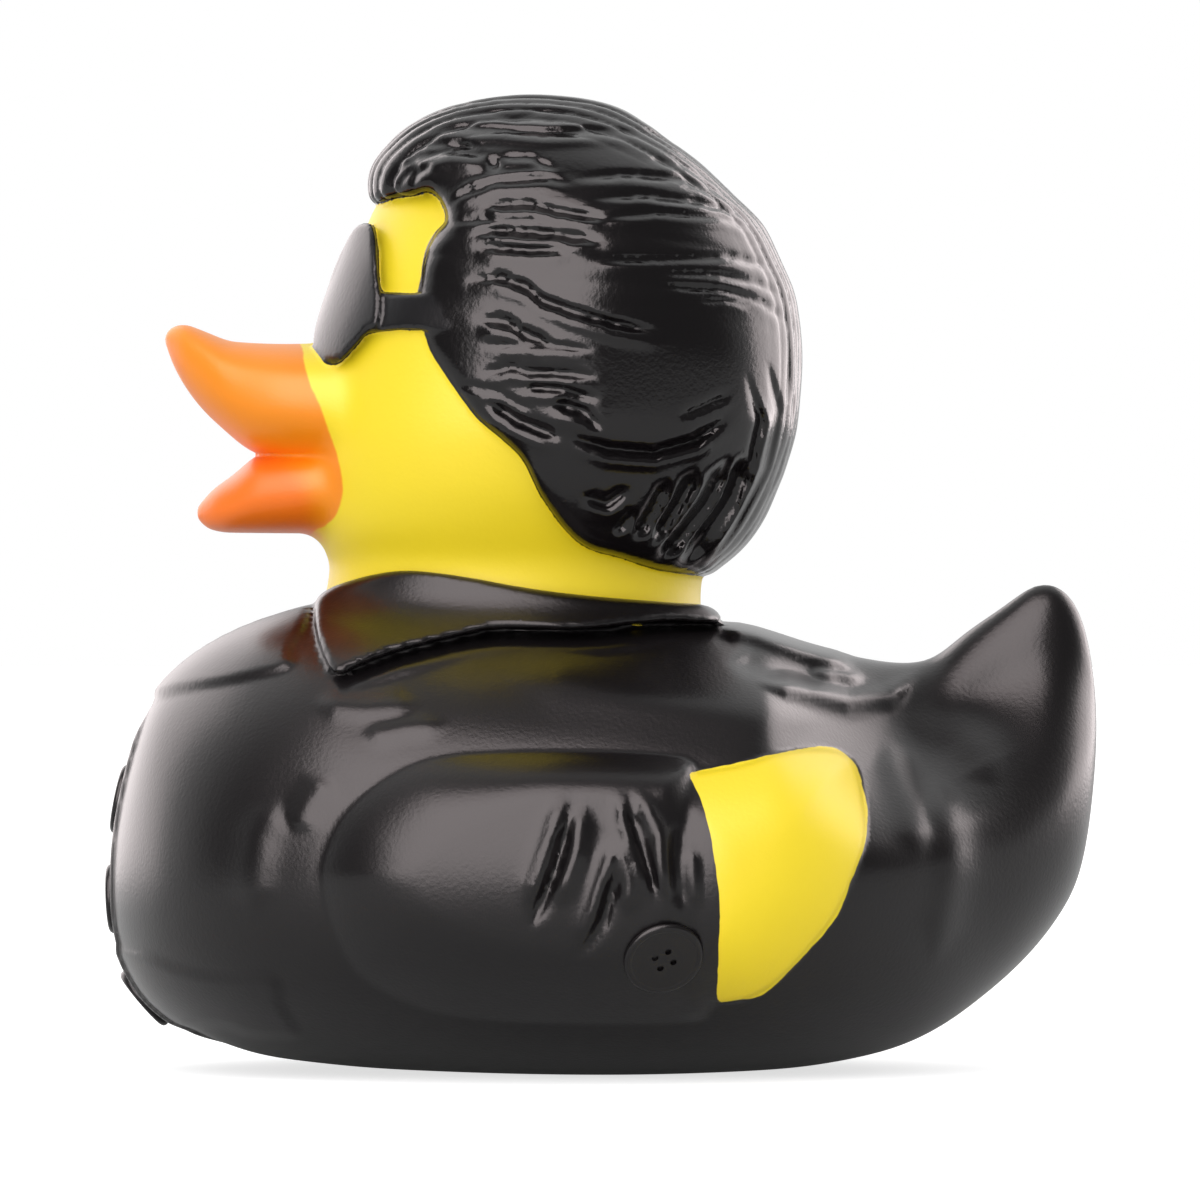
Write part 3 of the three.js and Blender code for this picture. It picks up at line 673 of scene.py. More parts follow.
@dataclass
class Bill:
    """The open bill, its upper and its lower half, in sections across X."""

    tip_x: float = -40.3
    root_x: float = -20.0
    root_depth: float = 2.5
    top: float = 68.7
    corner_x: float = -31.5
    corner_z: float = 56.7
    upper_width: float = 24.0
    lower_tip_x: float = -37.3
    lower_tip_z: float = 51.3
    bottom: float = 49.5
    lower_width: float = 19.0
    squareness: float = 2.3
    rings: int = 70
    root_rings: int = 6
    root_turns: Point = (0.25, 1.5)
    tip_gap: float = 0.03
    around: int = 80
    cell: float = 0.6
    upper_low: Point = (-45.0, 44.0)
    upper_high: Corner = (-13.0, 16.0, 73.0)
    lower_low: Point = (-42.0, 44.0)
    lower_high: Corner = (-13.0, 16.0, 64.0)
    upper: Grid = field(init=False)
    lower: Grid = field(init=False)

    def __post_init__(self) -> None:
        """Draw the lines of both halves and measure them."""
        top = Profile([(self.tip_x + back, self.top - drop) for back, drop in (
            (0, 1.2), (0.5, 0.3), (1.8, 0), (3.6, 0.6), (6.5, 1.6), (11, 1.8),
        )] + [(self.root_x, self.top - 1.5)])
        low = Profile([(self.tip_x + back, self.top - drop) for back, drop in (
            (0, 1.4), (0.8, 3.7), (2.6, 6.7), (4.7, 9),
        )] + [(self.corner_x, self.corner_z), (self.root_x, self.corner_z - 2)])
        half = Profile(scaled((
            (0, 0.12), (0.1, 0.4), (0.3, 0.72), (0.6, 0.95), (0.85, 1), (1, 0.92),
        ), self.upper_width / 2), Reading.ROUND_TOPPED)
        rings = self.loft(self.tip_x, top, low, half)
        self.upper = loft_field(rings, self.upper_low, self.upper_high, self.cell)
        top = Profile([
            (self.lower_tip_x, self.lower_tip_z + 0.5), (self.lower_tip_x + 1.4, self.lower_tip_z + 2.1),
            (self.lower_tip_x + 3.3, self.lower_tip_z + 3.5), (self.corner_x, self.corner_z),
            (self.root_x, self.corner_z + 2),
        ])
        low = Profile([
            (self.lower_tip_x, self.lower_tip_z - 0.5), (self.lower_tip_x + 1.2, self.bottom + 0.3),
            (self.lower_tip_x + 3, self.bottom), (self.root_x, self.bottom - 0.1),
        ])
        half = Profile(scaled((
            (0, 0.15), (0.12, 0.5), (0.35, 0.8), (0.7, 1), (1, 1),
        ), self.lower_width / 2), Reading.ROUND_TOPPED)
        rings = self.loft(self.lower_tip_x, top, low, half)
        self.lower = loft_field(rings, self.lower_low, self.lower_high, self.cell)

    def loft(self, tip: float, top: Profile, low: Profile, half: Profile) -> Array:
        """Place the points of every section of one half, with a rounded end inside the head.

        Args:
            tip: Where the half begins.
            top: Its upper line.
            low: Its lower line.
            half: Half its width.

        Returns:
            The points, as rings by places around a ring by three.
        """
        share = 1.0 - np.cos(np.linspace(self.tip_gap, 1.0, self.rings) * math.pi / 2.0)
        close = np.linspace(*self.root_turns, self.root_rings)
        share = np.concatenate([share, np.ones(len(close))])[:, None]
        shrink = np.concatenate([np.ones(self.rings), np.cos(close)])[:, None]
        bulge = np.concatenate([np.zeros(self.rings), self.root_depth * np.sin(close)])[:, None]
        x = tip + share * (self.root_x - tip)
        angle = ring_angles(self.around)
        across = shrink * squared_off(np.cos(angle), self.squareness)
        up = shrink * squared_off(np.sin(angle), self.squareness)
        centre = (top(x) + low(x)) / 2.0
        tall = (top(x) - low(x)) / 2.0
        x = x + bulge
        return np.stack([x + 0.0 * angle, across * half(share), centre + up * tall], axis=2)


@dataclass
class Sunglasses:
    """Two wrapped lenses, the bridge between them and an arm to each side."""

    top: float = 78.0
    bottom: float = 64.7
    thickness: float = 1.5
    outer_y: float = 17.5
    back_x: float = -20.4
    nose_gap: float = 2.2
    bridge: float = 2.4
    bridge_drop: float = 0.3
    bridge_overlap: float = 1.5
    bridge_back: float = -10.0
    bridge_share: float = 0.85
    arm_height: float = 3.2
    arm_centre: float = 69.8
    arm_front: float = -22.5
    arm_bend_x: float = -18.0
    arm_bend: float = 0.1
    arm_back: float = -10.0
    arm_thickness: float = 0.8
    rim_fillet: float = 0.7
    edge_fillet: float = 0.5
    arm_fillet: float = 0.4

    def __post_init__(self) -> None:
        """Draw the outlines of the lenses from the front and from the side."""
        tall = self.top - self.bottom
        self.lens = Outline([
            (self.nose_gap, self.top - 0.32 * tall), (self.nose_gap + 1.2, self.top - 0.1 * tall),
            (self.nose_gap + 3.5, self.top), (0.6 * self.outer_y, self.top - 0.02 * tall),
            (0.86 * self.outer_y, self.top - 0.02 * tall), (self.outer_y + 3, self.top - 0.05 * tall),
            (self.outer_y + 5, self.top - 0.4 * tall), (self.outer_y + 4, self.bottom + 0.1 * tall),
            (self.outer_y, self.bottom - 0.02 * tall), (0.72 * self.outer_y, self.bottom),
            (0.5 * self.outer_y, self.bottom + 0.02 * tall),
            (self.nose_gap + 2.4, self.bottom + 0.16 * tall),
            (self.nose_gap + 0.4, self.bottom + 0.4 * tall),
        ])
        self.profile = Outline([(self.back_x - ahead, height) for ahead, height in (
            (12.6, 78.6), (5.6, 78.4), (1.3, 78.2), (0.5, 77.2), (0.3, 75.4), (0.2, 73.6), (0, 71.6),
            (0, 69.9), (0.3, 68.5), (1.1, 68.1), (2.4, 66.6), (3.9, 65.1), (5.3, 64.6), (7.6, 64.2),
            (12.6, 64.2),
        )])
        high = self.arm_centre + self.arm_height / 2
        low = self.arm_centre - self.arm_height / 2
        self.arm = Outline([
            (self.arm_front, high), (self.arm_bend_x, high + self.arm_bend), (self.arm_back, high),
            (self.arm_back, low), (self.arm_bend_x, low + self.arm_bend), (self.arm_front, low),
        ])

    def distance(self, points: Array, head: Array) -> Array:
        """Measure to the sunglasses.

        Args:
            points: Where to measure from.
            head: The distances to the head.

        Returns:
            The distances, below 0 inside.
        """
        edge = soft_max(self.lens.front(points), self.profile.side(points), self.edge_fillet)
        lenses = soft_max(head - self.thickness, edge, self.rim_fillet)
        middle = self.top - self.bridge_drop * (self.top - self.bottom)
        wide = np.abs(points[:, 1]) - self.nose_gap - self.bridge_overlap
        tall = np.abs(points[:, 2] - middle) - self.bridge / 2
        beam = np.maximum(np.maximum(wide, tall), points[:, 0] - self.bridge_back)
        bridge = soft_max(head - self.bridge_share * self.thickness, beam, self.edge_fillet)
        arms = soft_max(head - self.arm_thickness, self.arm.side(points), self.arm_fillet)
        return soft_min(soft_min(lenses, bridge, self.edge_fillet), arms, self.edge_fillet)


# Each line has its points in the side view, its half width and its height.
DEEP_GROOVES = (
    (((-10.9, 79.3), (-9.2, 79.7), (-6.6, 79.8), (-4.1, 79.1), (0.4, 78.4)), 0.42, -0.75),
    (((-11.6, 77.1), (-8.9, 77.4), (-5.4, 77.1), (-2.8, 76.8), (-0.1, 76.3)), 0.5, -0.85),
    (((-11.6, 76.0), (-9.2, 75.8), (-6.6, 75.6), (-2.8, 75.8)), 0.4, -0.6),
    (((-12.2, 72.8), (-9.2, 73.0), (-7.0, 72.2), (-5.4, 70.9), (-2.8, 69.9), (1.0, 68.8),
      (5.4, 67.9)), 0.45, -0.8),
    (((-11.3, 69.3), (-8.9, 69.0), (-6.6, 67.6), (-4.4, 66.7)), 0.55, -0.8),
    (((-10.8, 66.8), (-7.9, 66.8), (-4.1, 66.7), (-0.9, 66.3)), 0.3, -0.4),
    (((-10.9, 64.2), (-8.2, 64.8), (-6.6, 64.3), (-3.5, 64.2), (-0.6, 63.9)), 0.4, -0.6),
    (((-7.4, 63.0), (-4.1, 62.8), (-0.3, 61.7)), 0.38, -0.6),
    (((-4.4, 61.5), (-1.9, 60.9), (-0.1, 59.1)), 0.6, -0.9),
    (((-10.3, 61.5), (-7.6, 59.8), (-3.8, 58.3)), 0.55, -0.9),
    (((-2.7, 58.3), (0.7, 57.2), (4.8, 56.9), (8.6, 58.0), (11.5, 60.0)), 0.5, -1),
    (((7.2, 60.2), (9.6, 61.2), (11.8, 62.2)), 0.3, -0.5),
    (((-1.6, 52.9), (0.5, 52.2), (2.4, 53.6)), 0.5, -0.7),
    (((1.3, 49.5), (3.1, 51.6)), 0.4, -0.6),
    (((6.2, 54.4), (4.8, 51.8), (3.2, 49.1)), 0.75, -1.1),
    (((8.8, 55.3), (7.0, 52.1), (4.8, 48.6)), 0.85, -1.35),
    (((11.8, 56.3), (9.6, 52.1), (5.4, 47.1)), 0.95, -1.5),
    (((13.4, 56.6), (11.5, 52.1), (7.5, 46.6)), 1.05, -1.6),
)
SIDE_GROOVES = (
    (((-14.1, 78.2), (-10.5, 78.4), (-5.4, 78.3), (-0.3, 77.4)), 0.35, -0.35),
    (((-15.6, 88.1), (-12.7, 89.0), (-8.9, 89.4), (-4.1, 89.3), (-0.3, 88.7)), 0.4, -0.5),
    (((-13.6, 88.1), (-10.5, 88.3), (-8.2, 87.5), (-5.4, 88.3), (-1.6, 88.2)), 0.35, -0.45),
    (((-17.8, 86.0), (-14.3, 86.8), (-9.5, 86.8), (-5.4, 86.4), (-0.3, 86.6),
      (4.8, 86.2)), 0.4, -0.5),
    (((-8.6, 87.2), (-6.6, 87.7), (-3.5, 87.5)), 0.3, -0.4),
    (((-9.5, 84.1), (-6.6, 84.1), (-4.1, 82.8)), 0.3, -0.3),
    (((-14.4, 79.5), (-12.7, 80.9), (-9.8, 81.9), (-5.4, 82.2), (-2.8, 81.7)), 0.35, -0.35),
    (((-2.8, 82.1), (2.3, 82.5), (7.0, 82.2), (11.2, 80.8), (14.7, 78.6)), 0.35, -0.35),
    (((-0.9, 80.3), (3.9, 80.6), (8.6, 80.0), (12.8, 78.9), (15.9, 76.3)), 0.35, -0.4),
    (((0.0, 78.6), (5.4, 79.0), (11.2, 78.6), (15.0, 77.1)), 0.3, -0.3),
    (((-0.9, 74.7), (5.4, 74.7), (11.8, 74.9), (16.3, 73.9)), 0.35, -0.35),
    (((4.8, 73.5), (10.2, 73.3), (14.4, 72.5), (17.4, 70.9)), 0.3, -0.3),
    (((5.4, 72.2), (11.2, 71.9), (15.0, 70.6), (17.9, 68.4)), 0.3, -0.3),
    (((8.6, 70.9), (11.8, 70.9), (14.4, 70.3)), 0.25, -0.3),
    (((2.3, 87.5), (6.4, 85.4), (10.2, 82.5), (13.7, 79.0), (16.3, 75.4)), 0.4, -0.45),
    (((3.9, 84.1), (7.4, 83.3), (11.2, 81.7), (14.0, 79.5)), 0.35, -0.35),
    (((-13.6, 63.3), (-9.8, 62.5), (-6.0, 60.4)), 0.3, -0.3),
)
QUIFF_GROOVES = (
    (((-17.6, 84.8), (-15.2, 85.3), (-11.1, 84.9)), 0.45, -0.8),
    (((-18.7, 82.8), (-17.0, 84.2), (-14.0, 84.7), (-10.5, 84.3)), 0.45, -0.7),
    (((-10.6, 83.3), (-9.3, 83.5)), 0.6, -0.5),
    (((-20.0, 80.6), (-19.4, 82.1), (-18.1, 83.5)), 0.35, -0.5),
    (((-18.9, 80.9), (-18.3, 82.2), (-16.7, 83.6)), 0.35, -0.5),
    (((-17.5, 81.4), (-17.0, 82.7), (-15.6, 83.5)), 0.35, -0.5),
)
NAPE_GROOVES = (
    (((13.4, 63.9), (14.7, 60.1), (13.7, 55.6), (11.2, 50.2), (8.6, 46.1)), 0.4, -0.5),
    (((15.3, 65.2), (16.3, 60.7), (15.2, 55.3), (12.1, 49.6), (9.6, 46.1)), 0.4, -0.5),
    (((17.1, 66.5), (17.5, 61.1), (16.3, 55.3), (13.1, 49.6), (10.2, 46.1)), 0.35, -0.5),
    (((18.2, 67.7), (18.3, 61.1), (16.9, 54.7), (13.7, 49.3)), 0.3, -0.5),
)
RAISED_STRANDS = (
    (((-17.0, 86.8), (-13.6, 87.4), (-9.5, 87.2), (-5.4, 86.9), (-0.9, 87.1),
      (4.8, 86.8), (7.4, 85.2)), 0.4, 0.35),
    (((-12.1, 88.7), (-8.9, 88.9), (-5.4, 88.7), (-0.9, 88.5)), 0.35, 0.3),
    (((-14.1, 80.3), (-12.1, 81.6), (-9.2, 82.4), (-3.5, 82.8)), 0.4, 0.3),
    (((-11.7, 74.6), (-7.9, 74.7), (-3.5, 74.4)), 0.5, 0.2),
    (((-11.4, 72.2), (-8.2, 71.4), (-5.4, 70.1), (-0.9, 69.3)), 0.5, 0.25),
    (((13.9, 63.3), (15.5, 59.5), (14.4, 55.3), (11.7, 49.9), (9.1, 45.9)), 0.35, 0.3),
)


@dataclass
class Hair:
    """Thick hair, swept back from the forehead in strands and down to points at the nape."""

    foot: float = 44.6
    top: float = 90.0
    front: float = -21.7
    back: float = 18.6
    width: float = 46.4
    crown_x: float = -6.6
    strand: float = 1.9
    depth: float = 0.13
    top_strand: float = 2.3
    top_depth: float = 0.5
    sharpness: float = 0.6
    lip: float = 0.45
    parting: float = 7.0
    parting_blend: float = 6.0
    nape: float = 66.0
    nape_blend: float = 6.0
    edge: float = 1.7
    quiff: Point = (-14.5, 79.3)
    whorl: Point = (19.5, 69.0)
    whorl_blend: float = 2.0
    bow: float = 0.0011
    bow_x: float = -6.0
    half_head: float = 24.0
    lean: float = 0.45
    lean_z: float = 74.0
    fan: float = 20.0
    fan_crowding: float = 0.8
    fan_core: float = 10.0
    deepest: float = 4.0
    rings: int = 130
    around: int = 130
    last_ring: float = 0.985
    cell: float = 1.3
    low: Point = (-31.0, 40.0)
    high: Corner = (27.0, 32.0, 95.0)
    grid: Grid = field(init=False)

    def __post_init__(self) -> None:
        """Draw the lines of the hair and its edge, and measure its mass."""
        self.front_line = Profile([(share, self.front + inset) for share, inset in (
            (0, 0), (0.34, -3), (0.69, -1), (0.78, 0.3), (0.813, 0), (0.855, 0.4), (0.89, 1.7),
            (0.923, 3.1), (0.954, 5.4), (0.976, 7.7), (0.991, 10.5), (1, self.crown_x - self.front),
        )], Reading.ROUND_TOPPED)
        self.back_line = Profile([(share, self.back - inset) for share, inset in (
            (0, 9.6), (0.018, 8.9), (0.057, 6.3), (0.104, 4.4), (0.176, 2.6), (0.256, 1.2),
            (0.339, 0.3), (0.449, 0), (0.586, 0.6), (0.659, 2), (0.733, 3.5), (0.795, 6.3),
            (0.861, 9.4), (0.927, 13.7), (0.974, 17.1), (1, self.back - self.crown_x),
        )], Reading.ROUND_TOPPED)
        self.half_line = Profile(scaled((
            (0, 0.72), (0.119, 0.85), (0.207, 0.94), (0.339, 1), (0.471, 1), (0.604, 0.95),
            (0.736, 0.83), (0.824, 0.69), (0.89, 0.54), (0.934, 0.41), (0.978, 0.22), (1, 0),
        ), self.width / 2), Reading.ROUND_TOPPED)
        self.grid = loft_field(self.loft(), self.low, self.high, self.cell)
        self.hairline = Outline([
            (-25, 79.4), (-20.9, 79.6), (-19, 80.4), (-17.4, 80.6), (-16, 81), (-14.9, 80.2),
            (-14.3, 78.4), (-15.4, 77), (-16.3, 75.2), (-17, 72.2), (-17.5, 70.4), (-17, 68.6),
            (-16, 65.9), (-13.9, 63), (-11.5, 60), (-9.3, 58.2), (-7.2, 56.2), (-5.6, 53),
            (-3.3, 49.8), (-1.2, 48.1), (1.5, 47.3), (5.1, 46.1), (8.8, 45.2), (12, 44), (24, 43),
            (30, 66), (24, 94), (-4, 98), (-30, 94), (-30, 82),
        ])
        grooves = DEEP_GROOVES + SIDE_GROOVES + QUIFF_GROOVES + NAPE_GROOVES
        self.strands = Relief(grooves + RAISED_STRANDS, self.lip)

    def loft(self) -> Array:
        """Place the points of every level section.

        Returns:
            The points, as rings by places around a ring by three.
        """
        share = np.sin(np.linspace(0.0, self.last_ring, self.rings) * math.pi / 2.0)[:, None]
        height = self.foot + share * (self.top - self.foot)
        front = self.front_line(share)
        back = self.back_line(share)
        return level_rings(front, back, self.half_line(share), height, self.around)

    def flow(self, points: Array) -> tuple[Array, Array]:
        """Say which strand runs at a place, and how far along it the place lies.

        Args:
            points: Where to read the flow.

        Returns:
            The distance across the strands, and a coordinate along them.
        """
        x = points[:, 0]
        y = np.abs(points[:, 1])
        z = points[:, 2]
        ahead = np.minimum(x - self.quiff[0], 0.0)
        rise = z - self.whorl[1]
        middle = np.exp(-(y / self.half_head) ** 2)
        bow = self.bow * np.maximum(rise, 0.0) * (x - self.bow_x) ** 2 * middle
        over = self.quiff[1] + np.hypot(ahead, z - self.quiff[1])
        level = np.where(z > self.quiff[1], over, z)
        lean = self.lean * (self.half_head - y) * smooth_step(z, self.lean_z, self.top)
        upper = level + bow - lean
        turn = np.arctan2(self.whorl[1] - z, self.whorl[0] - x)
        gap = np.hypot(self.whorl[1] - z, self.whorl[0] - x)
        spread = turn / (1.0 + self.fan_crowding * np.exp(-gap / self.fan_core))
        lower = self.whorl[1] - self.fan * spread
        mix = smooth_step(z, self.whorl[1] - self.whorl_blend, self.whorl[1] + self.whorl_blend)
        return lower * (1.0 - mix) + upper * mix, gap

    def grooves(self, across: Array, strand: float) -> Array:
        """Give the depth of the grooves between strands, from 0 on a strand to 1 between two."""
        crest = np.abs(np.sin(math.pi * across / strand))
        return 1.0 - crest ** self.sharpness

    def side_depth(self, points: Array) -> Array:
        """Work out how deep the fine strands of the sides are, fading out above the nape.

        Args:
            points: Places near the surface of the hair.

        Returns:
            The depth at each place.
        """
        across, along = self.flow(points)
        side = np.sign(points[:, 1])
        stray = 1.1
        lane = across + stray * wander(across * 0.5, along * 0.08 + side, seed=3)
        swell = uneven(
            across * 0.8, along * 0.2 + side, seed=5, middle=0.6, change=0.5, least=0.1, most=1.2,
        )
        fading = smooth_step(points[:, 2], self.nape, self.nape + self.nape_blend)
        return self.depth * self.grooves(lane, self.strand) * swell * fading

    def crown_depth(self, points: Array) -> Array:
        """Work out how deep the combed strands are that run over the crown from front to back.

        Args:
            points: Places near the surface of the hair.

        Returns:
            The depth at each place.
        """
        x, y, z = points.T
        stray = 1.5
        over = y + stray * wander(x * 0.09, y * 0.35 + z * 0.06, seed=11)
        swell = uneven(x * 0.16, over * 1.3, seed=17, middle=0.65, change=0.45, least=0.15, most=1.1)
        lowest_share = 0.3
        fading = lowest_share + (1.0 - lowest_share) * smooth_step(z, self.nape - 12.0, self.nape)
        return self.top_depth * self.grooves(over, self.top_strand) * swell * fading

    def relief(self, points: Array) -> Array:
        """Work out how far the strands, locks and fine lines sink below the mass of hair.

        Args:
            points: Places near the surface of the hair.

        Returns:
            The depth at each place, below 0 where a strand stands out.
        """
        beside = smooth_step(np.abs(points[:, 1]), self.parting, self.parting + self.parting_blend)
        fine = self.side_depth(points) * beside + self.crown_depth(points) * (1.0 - beside)
        crown_share = 0.25
        return fine - self.strands.at(points) * (crown_share + (1.0 - crown_share) * beside)

    def distance(self, points: Array) -> Array:
        """Measure to the hair, strands and all.

        Args:
            points: Where to measure from.

        Returns:
            The distances, below 0 inside.
        """
        mass = self.grid.at(mirrored(points))
        near = np.abs(mass) < self.deepest
        sunk = np.zeros(len(points))
        if near.any():
            sunk[near] = self.relief(points[near])
        return soft_max(mass + sunk, self.hairline.side(points), self.edge)


SLEEVE_FOLDS = (
    (((-3.5, 25.2), (-5.2, 19.7), (-6.8, 15.0)), 0.95, 0.75),
    (((-1.7, 24.4), (-2.4, 19.7), (-4.0, 15.2)), 0.95, 0.8),
    (((1.5, 21.4), (-0.2, 16.2), (-1.9, 11.0)), 0.85, 0.85),
    (((1.5, 21.4), (2.7, 17.2), (2.5, 14.4)), 0.8, 0.75),
    (((1.6, 25.6), (2.9, 19.7), (4.4, 15.8)), 0.75, 0.75),
    (((3.4, 25.6), (5.4, 21.8), (5.8, 15.6)), 0.8, 0.85),
    (((8.9, 20.6), (8.9, 14.8)), 0.7, 0.7),
    (((-3.0, 22.9), (-4.2, 18.6), (-6.5, 13.2)), 0.6, -0.85),
    (((1.3, 18.2), (0.1, 13.7), (-2.3, 10.2)), 0.6, -0.95),
    (((2.2, 24.6), (3.6, 20.8), (5.2, 15.6)), 0.5, -0.8),
    (((7.5, 23.6), (7.0, 19.4), (7.5, 14.4)), 0.8, -0.7),
)
JACKET_CREASES = (
    (((-25.2, 26.8), (-27.0, 24.6), (-28.2, 22.0)), 1.4, 0.4),
    (((-29.7, 24.8), (-31.6, 21.7), (-32.2, 18.0), (-32.2, 14.5)), 1.7, 0.4),
    (((-24.6, 36.0), (-19.0, 38.0), (-13.4, 39.4), (-9.6, 40.0), (-2.5, 39.8), (4.0, 40.4),
      (9.0, 40.8)), 0.7, -0.45),
    (((-23.6, 34.9), (-18.6, 37.0), (-12.0, 38.8), (-7.0, 39.4), (0.0, 39.0),
      (8.0, 40.3)), 0.7, 0.35),
    (((10.0, 40.9), (14.0, 40.2), (18.0, 38.8), (22.0, 37.6), (23.4, 36.3)), 0.9, 0.8),
    (((14.3, 35.7), (18.3, 35.1), (22.8, 34.0), (26.5, 34.5), (29.3, 36.5)), 1.0, 0.8),
    (((19.2, 36.6), (21.9, 36.5), (24.1, 35.9)), 0.7, 0.4),
    (((12.0, 37.6), (18.0, 36.4), (21.0, 35.6)), 1.0, -0.4),
    (((28.3, 32.2), (32.6, 31.4), (35.1, 29.4), (36.6, 26.4)), 2.2, 0.42),
    (((26.4, 30.0), (28.6, 24.0), (29.4, 20.0)), 1.5, 0.3),
    (((30.4, 27.0), (32.4, 22.0), (32.6, 18.0), (30.8, 10.3)), 1.5, 0.35),
    (((-9.0, 36.6), (2.0, 34.8), (12.0, 33.4), (20.0, 32.4)), 2.2, 0.4),
    (((-26.4, 33.8), (-22.0, 33.4), (-17.0, 33.8)), 1.2, 0.35),
    (((-22.0, 30.6), (-18.0, 31.6), (-14.6, 31.8)), 1.0, 0.3),
)


@dataclass
class Jacket:
    """The jacket moulded on the body: sleeves, wing tips, collar, lapels, placket and hem."""

    hull: Hull
    head: Head
    sleeve_lift: float = 3.1
    tip_lift: float = 2.4
    tip_step: float = 0.75
    collar_lift: float = 1.3
    collar_fillet: float = 5.0
    collar_edge: float = 0.7
    collar_seat: float = 0.35
    neck_lift: float = 1.1
    lapel_lift: float = 0.5
    hem_lift: float = 0.28
    fold_lift: float = 0.85
    cuff_lift: float = 0.5
    placket_lift: float = 0.4
    placket_y: float = 1.6
    placket_width: float = 10.4
    base_rounding: float = 0.6
    relief_reach: float = 9.0

    def __post_init__(self) -> None:
        """Draw the outlines of the jacket's parts, as seen from the side."""
        self.sleeve = Outline([
            (-25.9, 17.2), (-25.4, 20.5), (-23.4, 24.1), (-19.6, 27.2), (-15, 28.9), (-8, 29.3),
            (2, 29.2), (8, 28.6), (9, 26.6), (10.3, 21), (10.9, 14), (11, 8), (10.2, 5.4),
            (7, 4.2), (-12, 4.6), (-21, 7.6), (-24.4, 11.6),
        ])
        self.tip = Outline([
            (5, 8), (5, 26.6), (8.3, 27.4), (12.6, 28.1), (17.1, 29.4), (21.1, 29.6), (23.3, 28.4),
            (24.1, 25.6), (24.4, 21.5), (23.4, 18.2), (21.7, 14.4), (19, 10.9), (16.5, 8.3),
            (13.8, 6.6), (10.8, 6), (7, 6.2),
        ])
        self.yellow = Outline([
            (8.6, 26.2), (8.2, 27.3), (10.6, 27.9), (14.8, 28.8), (18.6, 29.6), (21.4, 29.7),
            (23.2, 28.4), (23.9, 26.8), (24.5, 24), (24.3, 21), (23, 17.3), (21.6, 14),
            (19, 10.9), (16.5, 8.3), (14.6, 6.8), (12.3, 6.4), (10.8, 6.2), (10.7, 8.4),
            (10.9, 14), (10.5, 19), (9.6, 23.4),
        ])
        self.collar = Outline([
            (-26.2, 43.5), (-25, 44.4), (-22.8, 45.2), (-20.2, 45.8), (-17.9, 46), (-15.2, 45.8),
            (-11.8, 45.3), (-6.8, 44.4), (-1.2, 43.7), (6, 43.1), (9.6, 42.8), (11, 41.8),
            (10.4, 41.2), (6.6, 41.4), (3, 41.1), (-2.5, 40.6), (-6, 40.7), (-9.8, 40.7), (-13.4, 40),
            (-18.9, 38.6), (-22.6, 37.2), (-24.4, 36.5), (-25.5, 37.9), (-26.3, 40.5), (-26.4, 42.5),
        ])
        self.lapel = Outline([
            (-26.0, 43.9), (-27, 40.8), (-28.2, 38.8), (-28.6, 36.9), (-33.1, 35.7), (-38.6, 34.7),
            (-43, 33.7), (-48, 33.5), (-48, 46), (-36, 47), (-28, 46),
        ])
        self.opening = Outline([(-6, 50), (-6, 33.9), (0, 33.9), (8, 46), (9, 50)], smooth=False)
        self.hem = Outline([
            (-50, 11.6), (-43, 11.2), (-39.1, 9.7), (-35.2, 8.9), (-30.2, 8.8), (-29.2, 6),
            (-27.8, 2.9), (-32, 2.8), (-37.2, 3.8), (-50, 2),
        ])
        self.folds = Relief(SLEEVE_FOLDS)
        self.creases = Relief(JACKET_CREASES)

    def sleeve_height(self, points: Array) -> Array:
        """Work out how far the sleeve stands off the flank, its cuff and folds with it.

        Args:
            points: Places near the body.

        Returns:
            The height at each place, 0 outside the sleeve.
        """
        inside = -self.sleeve.side(points)
        slope = 4.6
        lower_slope = 6.0 * smooth_step(-points[:, 2], -19.0, -6.0)
        front_slope = 5.5 * smooth_step(-points[:, 0], 3.0, 20.0)
        share = np.clip(inside / (slope + lower_slope + front_slope), 0.0, 1.0)
        height = self.sleeve_lift * (1.0 - (1.0 - share) ** 2.3)
        cuff = self.cuff_lift * smooth_step(points[:, 0], 6.5, 9.5) * smooth_step(inside, 0.0, 1.0)
        folds = self.fold_lift * self.folds.at(points) * smooth_step(inside, 0.0, 2.5)
        return height + folds + cuff

    def tip_height(self, points: Array) -> Array:
        """Work out how far the bare wing tip stands off the flank.

        Args:
            points: Places near the body.

        Returns:
            The height at each place, 0 outside the wing tip.
        """
        inside = -self.tip.side(points)
        slope = 8.0
        share = np.clip(inside / slope, 0.0, 1.0)
        edge = self.tip_step * smooth_step(inside, -0.15, 0.45)
        return edge + self.tip_lift * (1.0 - (1.0 - share) ** 2)

    def flank_height(self, points: Array) -> Array:
        """Work out how far the jacket stands off the body, apart from its collar.

        Args:
            points: Places near the body.

        Returns:
            The height at each place, below 0 in a crease.
        """
        lapel = np.maximum(self.lapel.side(points), -self.opening.front(points))
        lapels = self.lapel_lift * smooth_step(-lapel, -0.2, 1.1)
        hem = self.hem_lift * smooth_step(-self.hem.side(points), -0.2, 1.0)
        ahead = smooth_step(-points[:, 0], 34.0, 38.0)
        front = ahead * smooth_step(-points[:, 2], -34.0, -30.0)
        strip = self.placket_width / 2 - np.abs(points[:, 1] - self.placket_y)
        placket = self.placket_lift * front * smooth_step(strip, -0.1, 0.6)
        wing = soft_max(self.sleeve_height(points), self.tip_height(points), 0.25)
        return lapels + hem + placket + self.creases.at(points) + wing

